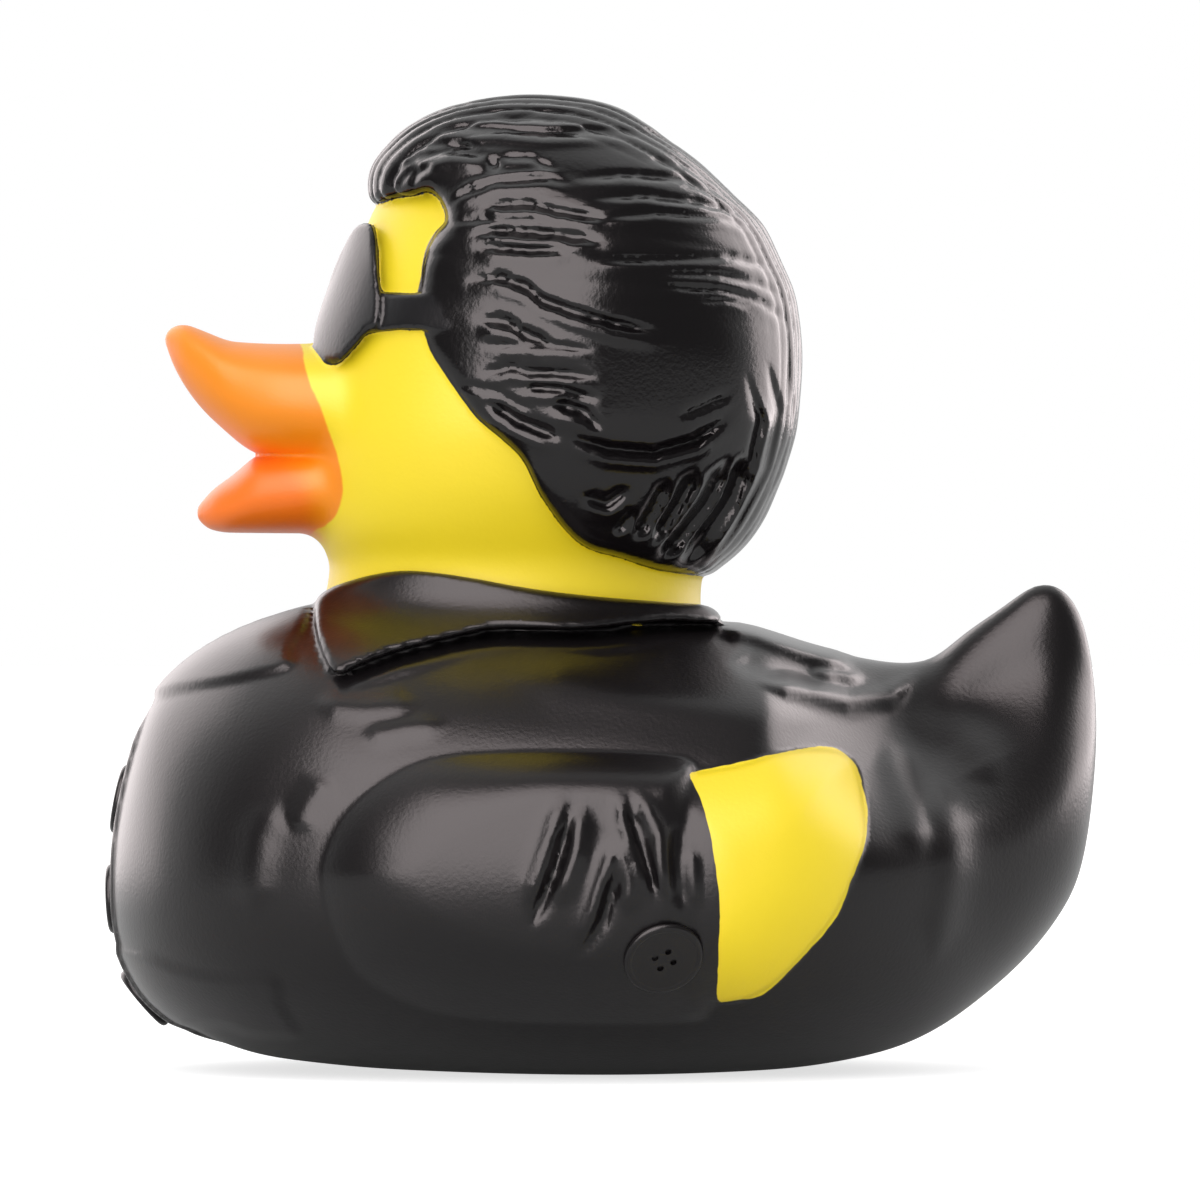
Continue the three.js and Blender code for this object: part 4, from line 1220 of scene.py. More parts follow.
    def distance(self, points: Array) -> Array:
        """Measure to the body in its jacket.

        Args:
            points: Where to measure from.

        Returns:
            The distances, below 0 inside.
        """
        folded = mirrored(points)
        body = self.hull.grid.at(folded)
        clad = body.copy()
        near = np.abs(body) < self.relief_reach
        if near.any():
            clad[near] -= self.flank_height(points[near])
        neck = self.head.grid.at(folded)
        stand = soft_min(body - self.collar_lift, neck - self.neck_lift, self.collar_fillet)
        collar = soft_max(stand, self.collar.side(points), self.collar_edge)
        whole = soft_min(clad, collar, self.collar_seat)
        return soft_max(whole, -points[:, 2], self.base_rounding)

    def wing_paint(self, points: Array) -> Array:
        """Say how far inside the yellow of the wing tip each place lies."""
        return -self.yellow.side(points)


@dataclass
class Face:
    """The head with its bill, sunglasses and hair."""

    head: Head
    bill: Bill
    glasses: Sunglasses
    hair: Hair
    mouth_fillet: float = 0.5
    bill_fillet: float = 1.6
    seam: float = 0.3
    foot: float = 39.0

    def __post_init__(self) -> None:
        """Draw the edge between the orange and the yellow, and the hollow of the mouth."""
        self.orange = Outline([
            (-27.9, 67.6), (-27.2, 64.5), (-26.3, 61.9), (-25.1, 58.9), (-24.2, 56.1),
            (-23.9, 53.4), (-24.4, 51.2), (-25.4, 50.2), (-27, 49.2), (-29, 46), (-46, 46),
            (-46, 72), (-29, 72),
        ])
        self.mouth = Outline([
            (-40.6, 67.2), (-38.6, 63.3), (-36.6, 60.8), (-34.3, 58.7), (-32, 57.4), (-29.6, 56.4),
            (-28.2, 55.2), (-27.2, 53.4), (-26.8, 51.5), (-27.4, 48), (-40, 47), (-44, 58),
        ])

    def parts(self, points: Array) -> tuple[Array, Array, Array]:
        """Measure to the bare head with its bill, to the sunglasses and to the hair.

        Args:
            points: Where to measure from.

        Returns:
            The distances to each of the three, below 0 inside.
        """
        folded = mirrored(points)
        head = self.head.grid.at(folded)
        bill = soft_min(self.bill.upper.at(folded), self.bill.lower.at(folded), self.mouth_fillet)
        skin = soft_min(head, bill, self.bill_fillet)
        return skin, self.glasses.distance(points, head), self.hair.distance(points)

    def distance(self, points: Array) -> Array:
        """Measure to the whole head.

        Args:
            points: Where to measure from.

        Returns:
            The distances, below 0 inside.
        """
        skin, glasses, hair = self.parts(points)
        whole = soft_min(soft_min(skin, glasses, self.seam), hair, self.seam)
        return np.maximum(whole, self.foot - points[:, 2])

    def paints(self, points: Array) -> dict[Paint, Array]:
        """Say how far inside each paint the places on the surface lie.

        Args:
            points: Places on the surface of the head.

        Returns:
            The distances inside the edge of each paint.
        """
        skin, glasses, hair = self.parts(points)
        return {
            Paint.HAIR: np.minimum(skin, glasses) - hair,
            Paint.LENS: skin - glasses,
            Paint.BILL: -self.orange.side(points),
            Paint.MOUTH: -self.mouth.side(points),
        }


class Mesher:
    """Wraps an even mesh of small quads around a shape that is given by its distances."""

    coarse = 4
    reach = 1.7

    def __init__(self, shape: Shape, low: Corner, high: Corner, cell: float) -> None:
        """Find where the surface passes, first coarsely and then cell by cell.

        Args:
            shape: Gives the distance to the shape from each of many places.
            low: The lowest corner of the space that holds it.
            high: The highest corner.
            cell: The size of a quad.
        """
        self.shape = shape
        self.low = np.array(low, float)
        self.cell = cell
        step = cell * self.coarse
        blocks = np.ceil((np.array(high) - self.low) / step).astype(int)
        places, counts = grid_points(self.low, self.low + step * blocks, step)
        rough = shape(places).reshape(counts)
        near = np.abs(rough) < self.reach * step
        corner = np.zeros(blocks, bool)
        for offset in np.ndindex(2, 2, 2):
            corner |= near[tuple(slice(o, o + n) for o, n in zip(offset, blocks))]
        self.values = self.filled(rough, blocks)
        mask = np.zeros(self.values.shape, bool)
        grown = self.repeated(corner)
        for offset in np.ndindex(2, 2, 2):
            target = tuple(slice(o, o + n) for o, n in zip(offset, grown.shape))
            mask[target] |= grown
        index = np.argwhere(mask)
        self.values[mask] = shape(self.low + index * cell)

    def filled(self, rough: Array, blocks: Array) -> Array:
        """Spread the coarse values over the fine grid, block by block."""
        keep = tuple(slice(0, n * self.coarse + 1) for n in blocks)
        return self.repeated(rough)[keep].astype(float)

    def repeated(self, values: Array) -> Array:
        """Repeat each value in all three directions, once for every cell of a block."""
        return np.kron(values, np.ones((self.coarse,) * 3, values.dtype))

    def surface(self) -> tuple[Array, Array]:
        """Make the quads and draw their corners onto the surface.

        Returns:
            The corners in millimetres, and the four corners of each quad.
        """
        inside = self.values < 0.0
        shape = tuple(n - 1 for n in inside.shape)
        count = np.zeros(shape, int)
        total = np.zeros(shape + (3,))
        for axis in range(3):
            self.gather(inside, axis, count, total)
        used = count > 0
        number = np.full(shape, -1)
        number[used] = np.arange(used.sum())
        places = self.low + (total[used] / count[used][:, None]) * self.cell
        quads = [self.faces(inside, axis, number) for axis in range(3)]
        return self.settled(places), np.concatenate(quads)

    @staticmethod
    def cuts(inside: Array, axis: int) -> Array:
        """List the grid's lines along one axis that the surface cuts.

        Args:
            inside: Which of the grid's points lie inside.
            axis: The direction of the lines.

        Returns:
            The grid place of the lower end of each line.
        """
        ahead = [slice(None)] * 3
        behind = [slice(None)] * 3
        ahead[axis] = slice(1, None)
        behind[axis] = slice(None, -1)
        return np.argwhere(inside[tuple(ahead)] != inside[tuple(behind)])

    def gather(self, inside: Array, axis: int, count: Array, total: Array) -> None:
        """Add up where the surface cuts the grid's lines along one axis, cell by cell.

        Args:
            inside: Which of the grid's points lie inside.
            axis: The direction of the lines.
            count: How many cuts each cell has had, which is added to.
            total: The sum of their places, which is added to.
        """
        cut = self.cuts(inside, axis)
        first = self.values[tuple(cut.T)]
        other = cut.copy()
        other[:, axis] += 1
        second = self.values[tuple(other.T)]
        spot = cut.astype(float)
        spot[:, axis] += first / (first - second)
        across = [a for a in range(3) if a != axis]
        for steps in np.ndindex(2, 2):
            home = cut.copy()
            home[:, across[0]] -= steps[0]
            home[:, across[1]] -= steps[1]
            valid = (home >= 0).all(1) & (home < np.array(count.shape)).all(1)
            place = tuple(home[valid].T)
            np.add.at(count, place, 1)
            np.add.at(total, place, spot[valid])

    def faces(self, inside: Array, axis: int, number: Array) -> Array:
        """Join the four cells around each cut line of the grid into a quad that faces outwards.

        Args:
            inside: Which of the grid's points lie inside.
            axis: The direction of the lines.
            number: The number of each cell's point.

        Returns:
            The four points of each quad.
        """
        cut = self.cuts(inside, axis)
        left = (axis + 1) % 3
        right = (axis + 2) % 3
        corners = []
        for step_left, step_right in ((1, 1), (0, 1), (0, 0), (1, 0)):
            home = cut.copy()
            home[:, left] -= step_left
            home[:, right] -= step_right
            corners.append(number[tuple(home.T)])
        quads = np.stack(corners, axis=1)
        leaving = inside[tuple(cut.T)]
        quads[~leaving] = quads[~leaving][:, ::-1]
        return quads

    def settled(self, places: Array) -> Array:
        """Draw each corner straight onto the surface.

        Args:
            places: The corners, near the surface.

        Returns:
            The corners on the surface.
        """
        nudge = 0.08
        rounds = 2
        least_slope = 0.2
        longest = 0.5 * self.cell
        for _ in range(rounds):
            here = self.shape(places)
            slope = np.empty_like(places)
            for axis in range(3):
                moved = places.copy()
                moved[:, axis] += nudge
                slope[:, axis] = (self.shape(moved) - here) / nudge
            steep = np.maximum((slope * slope).sum(1), least_slope)
            step = np.clip(here / steep, -longest, longest)
            places = places - slope * step[:, None]
        return places


def show(name: str, data: bpy.types.ID) -> bpy.types.Object:
    """Put a new object with the given data into the scene."""
    bpy.context.scene.collection.objects.link(bpy.data.objects.new(name, data))
    return bpy.data.objects[name]


def make_mesh(name: str, places: Array, quads: Array) -> bpy.types.Object:
    """Make a smooth object from points in millimetres.

    Args:
        name: The object's name.
        places: The points.
        quads: The four points of each face.

    Returns:
        The object, at the origin and in metres.
    """
    mesh = bpy.data.meshes.new(name)
    mesh.vertices.add(len(places))
    mesh.vertices.foreach_set("co", (places * MILLIMETRE).astype(np.float32).ravel())
    mesh.loops.add(quads.size)
    mesh.loops.foreach_set("vertex_index", quads.astype(np.int32).ravel())
    mesh.polygons.add(len(quads))
    mesh.polygons.foreach_set("loop_start", np.arange(0, quads.size, 4, dtype=np.int32))
    mesh.update(calc_edges=True)
    mesh.validate()
    mesh.shade_smooth()
    return show(name, mesh)


def add_paint(piece: bpy.types.Object, paint: Paint, values: Array) -> None:
    """Write one paint's distances on a piece's points."""
    attribute = piece.data.attributes.new(paint.value, "FLOAT", "POINT")
    attribute.data.foreach_set("value", values.astype(np.float32))


class Nodes:
    """Adds nodes to one node tree and joins them."""

    def __init__(self, tree: bpy.types.NodeTree) -> None:
        """Keep the tree."""
        self.tree = tree

    def add(self, kind: str, values: dict | None = None, **settings: object) -> bpy.types.Node:
        """Add a node.

        Args:
            kind: The node's type.
            values: What each input is: a number, a colour, or another node's output.
            settings: The node's own settings.

        Returns:
            The node.
        """
        node = self.tree.nodes.new(kind)
        for name, value in settings.items():
            setattr(node, name, value)
        for name, value in (values or {}).items():
            self.feed(node.inputs[name], value)
        return node

    def feed(self, socket: Socket, value: object) -> None:
        """Link another node's output to an input, or set the input to a plain value.

        Args:
            socket: The input.
            value: The output or the value.
        """
        if isinstance(value, Socket):
            self.tree.links.new(value, socket)
        else:
            socket.default_value = value

    def math(self, operation: str, *values: object) -> Socket:
        """Work out a number from one, two or three others."""
        return self.add("ShaderNodeMath", dict(enumerate(values)), operation=operation).outputs[0]

    def blend(self, share: object, first: object, second: object) -> Socket:
        """Mix two colours by a share."""
        return self.add("ShaderNodeMix", {0: share, 6: first, 7: second}, data_type="RGBA").outputs[2]

    def between(self, share: object, first: object, second: object) -> Socket:
        """Mix two numbers by a share."""
        return self.add("ShaderNodeMix", {0: share, 2: first, 3: second}, data_type="FLOAT").outputs[0]


def cleared(owner: bpy.types.Material | bpy.types.World) -> Nodes:
    """Switch on the nodes of a material or the world, and start them empty.

    Args:
        owner: The material or the world.

    Returns:
        What adds nodes to it.
    """
    owner.use_nodes = True
    owner.node_tree.nodes.clear()
    return Nodes(owner.node_tree)


def shader_group(
    name: str, inputs: Sequence[tuple[str, str, object]], result: tuple[str, str],
) -> tuple[Nodes, bpy.types.Node, bpy.types.Node]:
    """Start a shader node group.

    Args:
        name: The group's name.
        inputs: The name, the socket type and the starting value of each input.
        result: The name and the socket type of what it gives.

    Returns:
        The group's nodes, its input node and its output node.
    """
    tree = bpy.data.node_groups.new(name, "ShaderNodeTree")
    for label, kind, value in inputs:
        tree.interface.new_socket(label, in_out="INPUT", socket_type=kind).default_value = value
    label, kind = result
    tree.interface.new_socket(label, in_out="OUTPUT", socket_type=kind)
    nodes = Nodes(tree)
    return nodes, nodes.add("NodeGroupInput"), nodes.add("NodeGroupOutput")


class Effects:
    """The groups that the painted finishes share: the edge of a paint, its tone and its grain."""

    def __init__(self) -> None:
        """Build the three groups."""
        self.edge = self.build_edge()
        self.tone = self.build_tone()
        self.grain = self.build_grain()

    @staticmethod
    def noise(nodes: Nodes, scale: Socket, detail: float) -> Socket:
        """Add a noise that stays where it is on the object.

        Args:
            nodes: Where its nodes are added.
            scale: How many waves it has to a metre.
            detail: How many finer layers it has.

        Returns:
            The output that holds it.
        """
        place = nodes.add("ShaderNodeTexCoord").outputs["Object"]
        values = {"Vector": place, "Scale": scale, "Detail": detail}
        return nodes.add("ShaderNodeTexNoise", values).outputs["Fac"]

    @staticmethod
    def build_edge() -> bpy.types.NodeTree:
        """Build the mask of a hand-sprayed paint, whose edge wavers a little.

        Returns:
            The group.
        """
        nodes, inputs, outputs = shader_group("paint_edge", (
            ("Distance", "NodeSocketFloat", 0.0),
            ("Waver", "NodeSocketFloat", 0.1),
            ("Size", "NodeSocketFloat", 420.0),
            ("Softness", "NodeSocketFloat", 0.05),
        ), ("Mask", "NodeSocketFloat"))
        shift = nodes.math("SUBTRACT", Effects.noise(nodes, inputs.outputs["Size"], 2.0), 0.5)
        waver = inputs.outputs["Waver"]
        moved = nodes.math("MULTIPLY_ADD", shift, waver, inputs.outputs["Distance"])
        start = nodes.math("MULTIPLY", inputs.outputs["Softness"], -1.0)
        mask = nodes.add("ShaderNodeMapRange", {
            "Value": moved, "From Min": start, "From Max": inputs.outputs["Softness"],
        }, interpolation_type="SMOOTHSTEP")
        nodes.tree.links.new(mask.outputs["Result"], outputs.inputs["Mask"])
        return nodes.tree

    @staticmethod
    def build_tone() -> bpy.types.NodeTree:
        """Build the slow change of a colour over a painted surface.

        Returns:
            The group.
        """
        nodes, inputs, outputs = shader_group("paint_tone", (
            ("Colour", "NodeSocketColor", (1.0, 1.0, 1.0, 1.0)),
            ("Change", "NodeSocketFloat", 0.1),
            ("Size", "NodeSocketFloat", 60.0),
        ), ("Colour", "NodeSocketColor"))
        shift = nodes.math("SUBTRACT", Effects.noise(nodes, inputs.outputs["Size"], 3.0), 0.5)
        factor = nodes.math("MULTIPLY_ADD", shift, inputs.outputs["Change"], 1.0)
        colour = {0: inputs.outputs["Colour"], "Scale": factor}
        changed = nodes.add("ShaderNodeVectorMath", colour, operation="SCALE")
        nodes.tree.links.new(changed.outputs[0], outputs.inputs["Colour"])
        return nodes.tree

    @staticmethod
    def build_grain() -> bpy.types.NodeTree:
        """Build the fine orange peel of sprayed paint, with a few broad ripples of the vinyl.

        Returns:
            The group.
        """
        nodes, inputs, outputs = shader_group("paint_grain", (
            ("Fine", "NodeSocketFloat", 2600.0),
            ("Broad", "NodeSocketFloat", 320.0),
            ("Share", "NodeSocketFloat", 0.4),
        ), ("Height", "NodeSocketFloat"))
        fine = Effects.noise(nodes, inputs.outputs["Fine"], 2.0)
        broad = Effects.noise(nodes, inputs.outputs["Broad"], 2.0)
        total = nodes.between(inputs.outputs["Share"], fine, broad)
        nodes.tree.links.new(total, outputs.inputs["Height"])
        return nodes.tree


@dataclass(frozen=True)
class Finish:
    """One paint: its colour, how much the colour changes, and how rough it is."""

    colour: tuple[float, float, float]
    change: float
    roughness: float

    @property
    def full_colour(self) -> tuple[float, float, float, float]:
        """Give the colour with its alpha."""
        return (*self.colour, 1.0)


BLACK = Finish((0.0056, 0.0044, 0.0050), 0.35, 0.28)
HAIR = Finish((0.0048, 0.0038, 0.0043), 0.35, 0.17)
LENS = Finish((0.0072, 0.0068, 0.0080), 0.3, 0.26)
YELLOW = Finish((0.96, 0.73, 0.014), 0.05, 0.44)
ORANGE = Finish((0.95, 0.275, 0.001), 0.06, 0.4)
RED_ORANGE = Finish((0.97, 0.19, 0.006), 0.08, 0.38)


@dataclass
class PaintedVinyl:
    """The material of one piece, made up of the paints that the piece has."""

    name: str
    effects: Effects
    grain_height: float = 0.00003
    gloss: float = 1.43

    def __post_init__(self) -> None:
        """Make the material with its shader."""
        self.material = bpy.data.materials.new(self.name)
        self.nodes = cleared(self.material)
        self.shader = self.nodes.add("ShaderNodeBsdfPrincipled", {"IOR": self.gloss})
        surface = self.nodes.add("ShaderNodeOutputMaterial")
        self.material.node_tree.links.new(self.shader.outputs[0], surface.inputs["Surface"])

    def mask(self, paint: Paint, waver: float, softness: float = 0.05) -> Socket:
        """Give the mask of a paint.

        Args:
            paint: The paint.
            waver: How far its edge wanders, in millimetres.
            softness: How soft the edge is, in millimetres.

        Returns:
            The output that holds the mask.
        """
        distance = self.nodes.add("ShaderNodeAttribute", attribute_name=paint.value)
        group = self.nodes.add("ShaderNodeGroup", node_tree=self.effects.edge)
        self.material.node_tree.links.new(distance.outputs["Fac"], group.inputs["Distance"])
        group.inputs["Waver"].default_value = waver
        group.inputs["Softness"].default_value = softness
        return group.outputs["Mask"]

    def toned(self, finish: Finish) -> Socket:
        """Give the changing colour of a finish.

        Args:
            finish: The finish.

        Returns:
            The output that holds the colour.
        """
        group = self.nodes.add("ShaderNodeGroup", node_tree=self.effects.tone)
        group.inputs["Colour"].default_value = finish.full_colour
        group.inputs["Change"].default_value = finish.change
        return group.outputs["Colour"]

    def dress(self, layers: Sequence[tuple[object, Finish]], first: Finish) -> bpy.types.Material:
        """Lay the paints over each other and finish the material.

        Args:
            layers: The mask and the finish of each paint, from the lowest up.
            first: The finish of what no mask covers.

        Returns:
            The material.
        """
        colour = self.toned(first)
        roughness = first.roughness
        for mask, finish in layers:
            colour = self.nodes.blend(mask, colour, self.toned(finish))
            roughness = self.nodes.between(mask, roughness, finish.roughness)
        self.nodes.feed(self.shader.inputs["Base Color"], colour)
        self.nodes.feed(self.shader.inputs["Roughness"], roughness)
        grain = self.nodes.add("ShaderNodeGroup", node_tree=self.effects.grain)
        bump = self.nodes.add("ShaderNodeBump", {
            "Height": grain.outputs["Height"], "Distance": self.grain_height, "Strength": 1.0,
        })
        self.nodes.feed(self.shader.inputs["Normal"], bump.outputs["Normal"])
        return self.material


@dataclass
class Buttons:
    """Round buttons with a raised rim and four thread holes, seated on the jacket."""

    jacket: Jacket
    diameter: float = 6.4
    cuff_diameter: float = 7.25
    top_z: float = 24.9
    pitch: float = 9.2
    count: int = 3
    off_centre: float = 2.4
    cuff_x: float = 5.5
    cuff_z: float = 11.5
    thickness: float = 1.1
    rim: float = 0.75
    hole: float = 0.27
    hole_spread: float = 0.8
    hole_count: int = 4
    plate_drop: float = 0.72
    drill_rise: float = 0.42
    sides: int = 56
    fine_sides: int = 14
    clearance: float = 60.0
    search: float = 40.0
    search_steps: int = 1601

    def aims(self) -> list[tuple[Vector, Vector, float]]:
        """Say from where each button is set, which way it goes and how large it is.

        Returns:
            Those three for each button, down the front and then on the cuffs.
        """
        ahead = Vector((1.0, 0.0, 0.0))
        spots = []
        for index in range(self.count):
            height = self.top_z - index * self.pitch
            spots.append((Vector((-self.clearance, self.off_centre, height)), ahead, self.diameter))
        for side in (-1.0, 1.0):
            start = Vector((self.cuff_x, side * self.clearance, self.cuff_z))
            spots.append((start, Vector((0.0, -side, 0.0)), self.cuff_diameter))
        return spots

    def seat(self, start: Vector, heading: Vector, size: float) -> tuple[Vector, Vector]:
        """Find where a button meets the jacket and which way it faces there.

        Args:
            start: A place well outside the jacket.
            heading: The way to the jacket.
            size: The button's diameter.

        Returns:
            The seat's middle and its facing.
        """
        reach = np.linspace(0.0, self.search, self.search_steps)
        line = np.array(start)[None, :] + reach[:, None] * np.array(heading)[None, :]
        middle = line[int(np.argmax(self.jacket.distance(line) < 0.0))]
        step = size / 3.0
        ways = [np.eye(3)[axis] * sign for axis in range(3) for sign in (1, -1)]
        values = self.jacket.distance(np.array([middle + step * way for way in ways]))
        return Vector(middle), Vector(values[0::2] - values[1::2]).normalized()

    def carrier(self) -> bpy.types.Object:
        """Make the points that the buttons are set on, each with its facing and its size.

        Returns:
            The object that has the points.
        """
        aims = self.aims()
        seats = [self.seat(*aim) for aim in aims]
        mesh = bpy.data.meshes.new("buttons")
        mesh.from_pydata([place * MILLIMETRE for place, _ in seats], [], [])
        facing = mesh.attributes.new("facing", "FLOAT_VECTOR", "POINT")
        facing.data.foreach_set("vector", np.array([list(way) for _, way in seats], np.float32).ravel())
        size = mesh.attributes.new("size", "FLOAT", "POINT")
        size.data.foreach_set("value", np.array([aim[2] for aim in aims], np.float32) / self.diameter)
        return show("buttons", mesh)

    @staticmethod
    def raised(nodes: Nodes, shape: Socket, height: Socket) -> Socket:
        """Lift a shape.

        Args:
            nodes: Where the nodes are added.
            shape: The shape.
            height: How far it is lifted.

        Returns:
            The output that holds the lifted shape.
        """
        way = nodes.add("ShaderNodeCombineXYZ", {"Z": height}).outputs["Vector"]
        values = {"Geometry": shape, "Translation": way}
        return nodes.add("GeometryNodeTransform", values).outputs["Geometry"]

    @staticmethod
    def copied(nodes: Nodes, values: dict) -> Socket:
        """Set real copies of a shape on points."""
        copies = nodes.add("GeometryNodeInstanceOnPoints", values).outputs["Instances"]
        return nodes.add("GeometryNodeRealizeInstances", {"Geometry": copies}).outputs["Geometry"]

    def rim_ring(self, nodes: Nodes, radius: Socket, half: Socket) -> Socket:
        """Make the raised rim.

        Args:
            nodes: Where its nodes are added.
            radius: The radius of the ring.
            half: The radius of its section.

        Returns:
            The output that holds the rim.
        """
        circle = "GeometryNodeCurvePrimitiveCircle"
        path = nodes.add(circle, {"Resolution": self.sides, "Radius": radius})
        section = nodes.add(circle, {"Resolution": self.fine_sides, "Radius": half})
        curves = {"Curve": path.outputs["Curve"], "Profile Curve": section.outputs["Curve"]}
        rim = nodes.add("GeometryNodeCurveToMesh", curves)
        smooth = nodes.add("GeometryNodeSetShadeSmooth", {"Geometry": rim.outputs["Mesh"]})
        return smooth.outputs["Geometry"]

    def plate(self, nodes: Nodes, given: bpy.types.Node, radius: Socket) -> Socket:
        """Make the plate inside the rim and cut its thread holes.

        Args:
            nodes: Where its nodes are added.
            given: The tree's input node.
            radius: The radius of the plate.

        Returns:
            The output that holds the plate.
        """
        thickness = given.outputs["Thickness"]
        cylinder = "GeometryNodeMeshCylinder"
        depth = nodes.math("MULTIPLY", thickness, 2.0)
        blank = nodes.add(cylinder, {"Vertices": self.sides, "Radius": radius, "Depth": depth})
        drop = nodes.math("MULTIPLY", thickness, -self.plate_drop)
        seated = self.raised(nodes, blank.outputs["Mesh"], drop)
        drill = nodes.add(cylinder, {
            "Vertices": self.fine_sides, "Radius": given.outputs["Hole"], "Depth": thickness,
        })
        ring = {"Vertices": self.hole_count, "Radius": given.outputs["Spread"]}
        corners = nodes.add("GeometryNodeMeshCircle", ring)
        drills = {"Points": corners.outputs["Mesh"], "Instance": drill.outputs["Mesh"]}
        rise = nodes.math("MULTIPLY", thickness, self.drill_rise)
        placed = self.raised(nodes, self.copied(nodes, drills), rise)
        both = {"Mesh 1": seated, "Mesh 2": placed}
        return nodes.add("GeometryNodeMeshBoolean", both, operation="DIFFERENCE").outputs["Mesh"]

    def tree(self, material: bpy.types.Material) -> bpy.types.NodeTree:
        """Build the tree that makes one button and sets a copy on every point.

        Args:
            material: What the buttons are made of.

        Returns:
            The tree.
        """
        tree = bpy.data.node_groups.new("button_setter", "GeometryNodeTree")
        tree.interface.new_socket("Geometry", in_out="INPUT", socket_type="NodeSocketGeometry")
        for name in ("Radius", "Thickness", "Rim", "Hole", "Spread"):
            tree.interface.new_socket(name, in_out="INPUT", socket_type="NodeSocketFloat")
        tree.interface.new_socket("Geometry", in_out="OUTPUT", socket_type="NodeSocketGeometry")
        nodes = Nodes(tree)
        given = nodes.add("NodeGroupInput")
        half_rim = nodes.math("DIVIDE", given.outputs["Rim"], 2.0)
        radius = nodes.math("SUBTRACT", given.outputs["Radius"], half_rim)
        whole = nodes.add("GeometryNodeJoinGeometry")
        tree.links.new(self.rim_ring(nodes, radius, half_rim), whole.inputs[0])
        tree.links.new(self.plate(nodes, given, radius), whole.inputs[0])
        named = "GeometryNodeInputNamedAttribute"
        facing = nodes.add(named, {"Name": "facing"}, data_type="FLOAT_VECTOR").outputs["Attribute"]
        size = nodes.add(named, {"Name": "size"}, data_type="FLOAT").outputs["Attribute"]
        turn = nodes.add("FunctionNodeAlignRotationToVector", {"Vector": facing}, axis="Z")
        scale = nodes.add("ShaderNodeCombineXYZ", {"X": size, "Y": size, "Z": 1.0})
        copies = self.copied(nodes, {
            "Points": given.outputs["Geometry"], "Instance": whole.outputs["Geometry"],
            "Rotation": turn.outputs["Rotation"], "Scale": scale.outputs["Vector"],
        })
        dressed = nodes.add("GeometryNodeSetMaterial", {"Geometry": copies, "Material": material})
        nodes.add("NodeGroupOutput", {"Geometry": dressed.outputs["Geometry"]})
        return tree

    def build(self, material: bpy.types.Material) -> bpy.types.Object:
        """Make the buttons.

        Args:
            material: What they are made of.

        Returns:
            One object that holds them all.
        """
        piece = self.carrier()
        tree = self.tree(material)
        modifier = piece.modifiers.new("button_setter", "NODES")
        modifier.node_group = tree
        sizes = {
            "Radius": self.diameter / 2, "Thickness": self.thickness, "Rim": self.rim,
            "Hole": self.hole, "Spread": self.hole_spread,
        }
        for socket in tree.interface.items_tree:
            if socket.in_out == "INPUT" and socket.name in sizes:
                modifier[socket.identifier] = sizes[socket.name] * MILLIMETRE
        bpy.context.view_layer.update()
        seen = piece.evaluated_get(bpy.context.evaluated_depsgraph_get())
        plain = bpy.data.meshes.new_from_object(seen)
        piece.modifiers.clear()
        piece.data = plain
        return piece


@dataclass
class Duck:
    """The whole duck: the body in its jacket, the head, and the buttons."""

    body_cell: float = 0.5
    body_low: Corner = (-47.0, -42.0, -1.0)
    body_high: Corner = (47.5, 42.0, 48.0)
    head_cell: float = 0.36
    head_low: Corner = (-42.5, -27.0, 38.0)
    head_high: Corner = (21.5, 27.0, 92.0)

    def __post_init__(self) -> None:
        """Measure all its parts."""
        hull = Hull()
        head = Head()
        self.jacket = Jacket(hull, head)
        self.face = Face(head, Bill(), Sunglasses(), Hair())
        self.effects = Effects()

    def build_body(self) -> bpy.types.Object:
        """Make the body in its jacket, with its yellow wing tips.

        Returns:
            The finished piece.
        """
        mesher = Mesher(self.jacket.distance, self.body_low, self.body_high, self.body_cell)
        places, quads = mesher.surface()
        piece = make_mesh("jacketed_body", places, quads)
        add_paint(piece, Paint.WING, self.jacket.wing_paint(places))
        vinyl = PaintedVinyl("jacket_vinyl", self.effects)
        wing = vinyl.mask(Paint.WING, waver=0.35)
        piece.data.materials.append(vinyl.dress([(wing, YELLOW)], BLACK))
        return piece

    def build_head(self) -> bpy.types.Object:
        """Make the head with its bill, sunglasses and hair.

        Returns:
            The finished piece.
        """
        mesher = Mesher(self.face.distance, self.head_low, self.head_high, self.head_cell)
        places, quads = mesher.surface()
        piece = make_mesh("head", places, quads)
        for paint, values in self.face.paints(places).items():
            add_paint(piece, paint, values)
        vinyl = PaintedVinyl("head_vinyl", self.effects)
        layers = [
            (vinyl.mask(Paint.BILL, waver=0.4, softness=0.12), ORANGE),
            (vinyl.mask(Paint.MOUTH, waver=0.8, softness=1.4), RED_ORANGE),
            (vinyl.mask(Paint.LENS, waver=0.2), LENS),
            (vinyl.mask(Paint.HAIR, waver=0.35), HAIR),
        ]
        piece.data.materials.append(vinyl.dress(layers, YELLOW))
        return piece

    def build_buttons(self) -> bpy.types.Object:
        """Make the buttons of the jacket."""
        vinyl = PaintedVinyl("button_vinyl", self.effects)
        return Buttons(self.jacket).build(vinyl.dress([], BLACK))


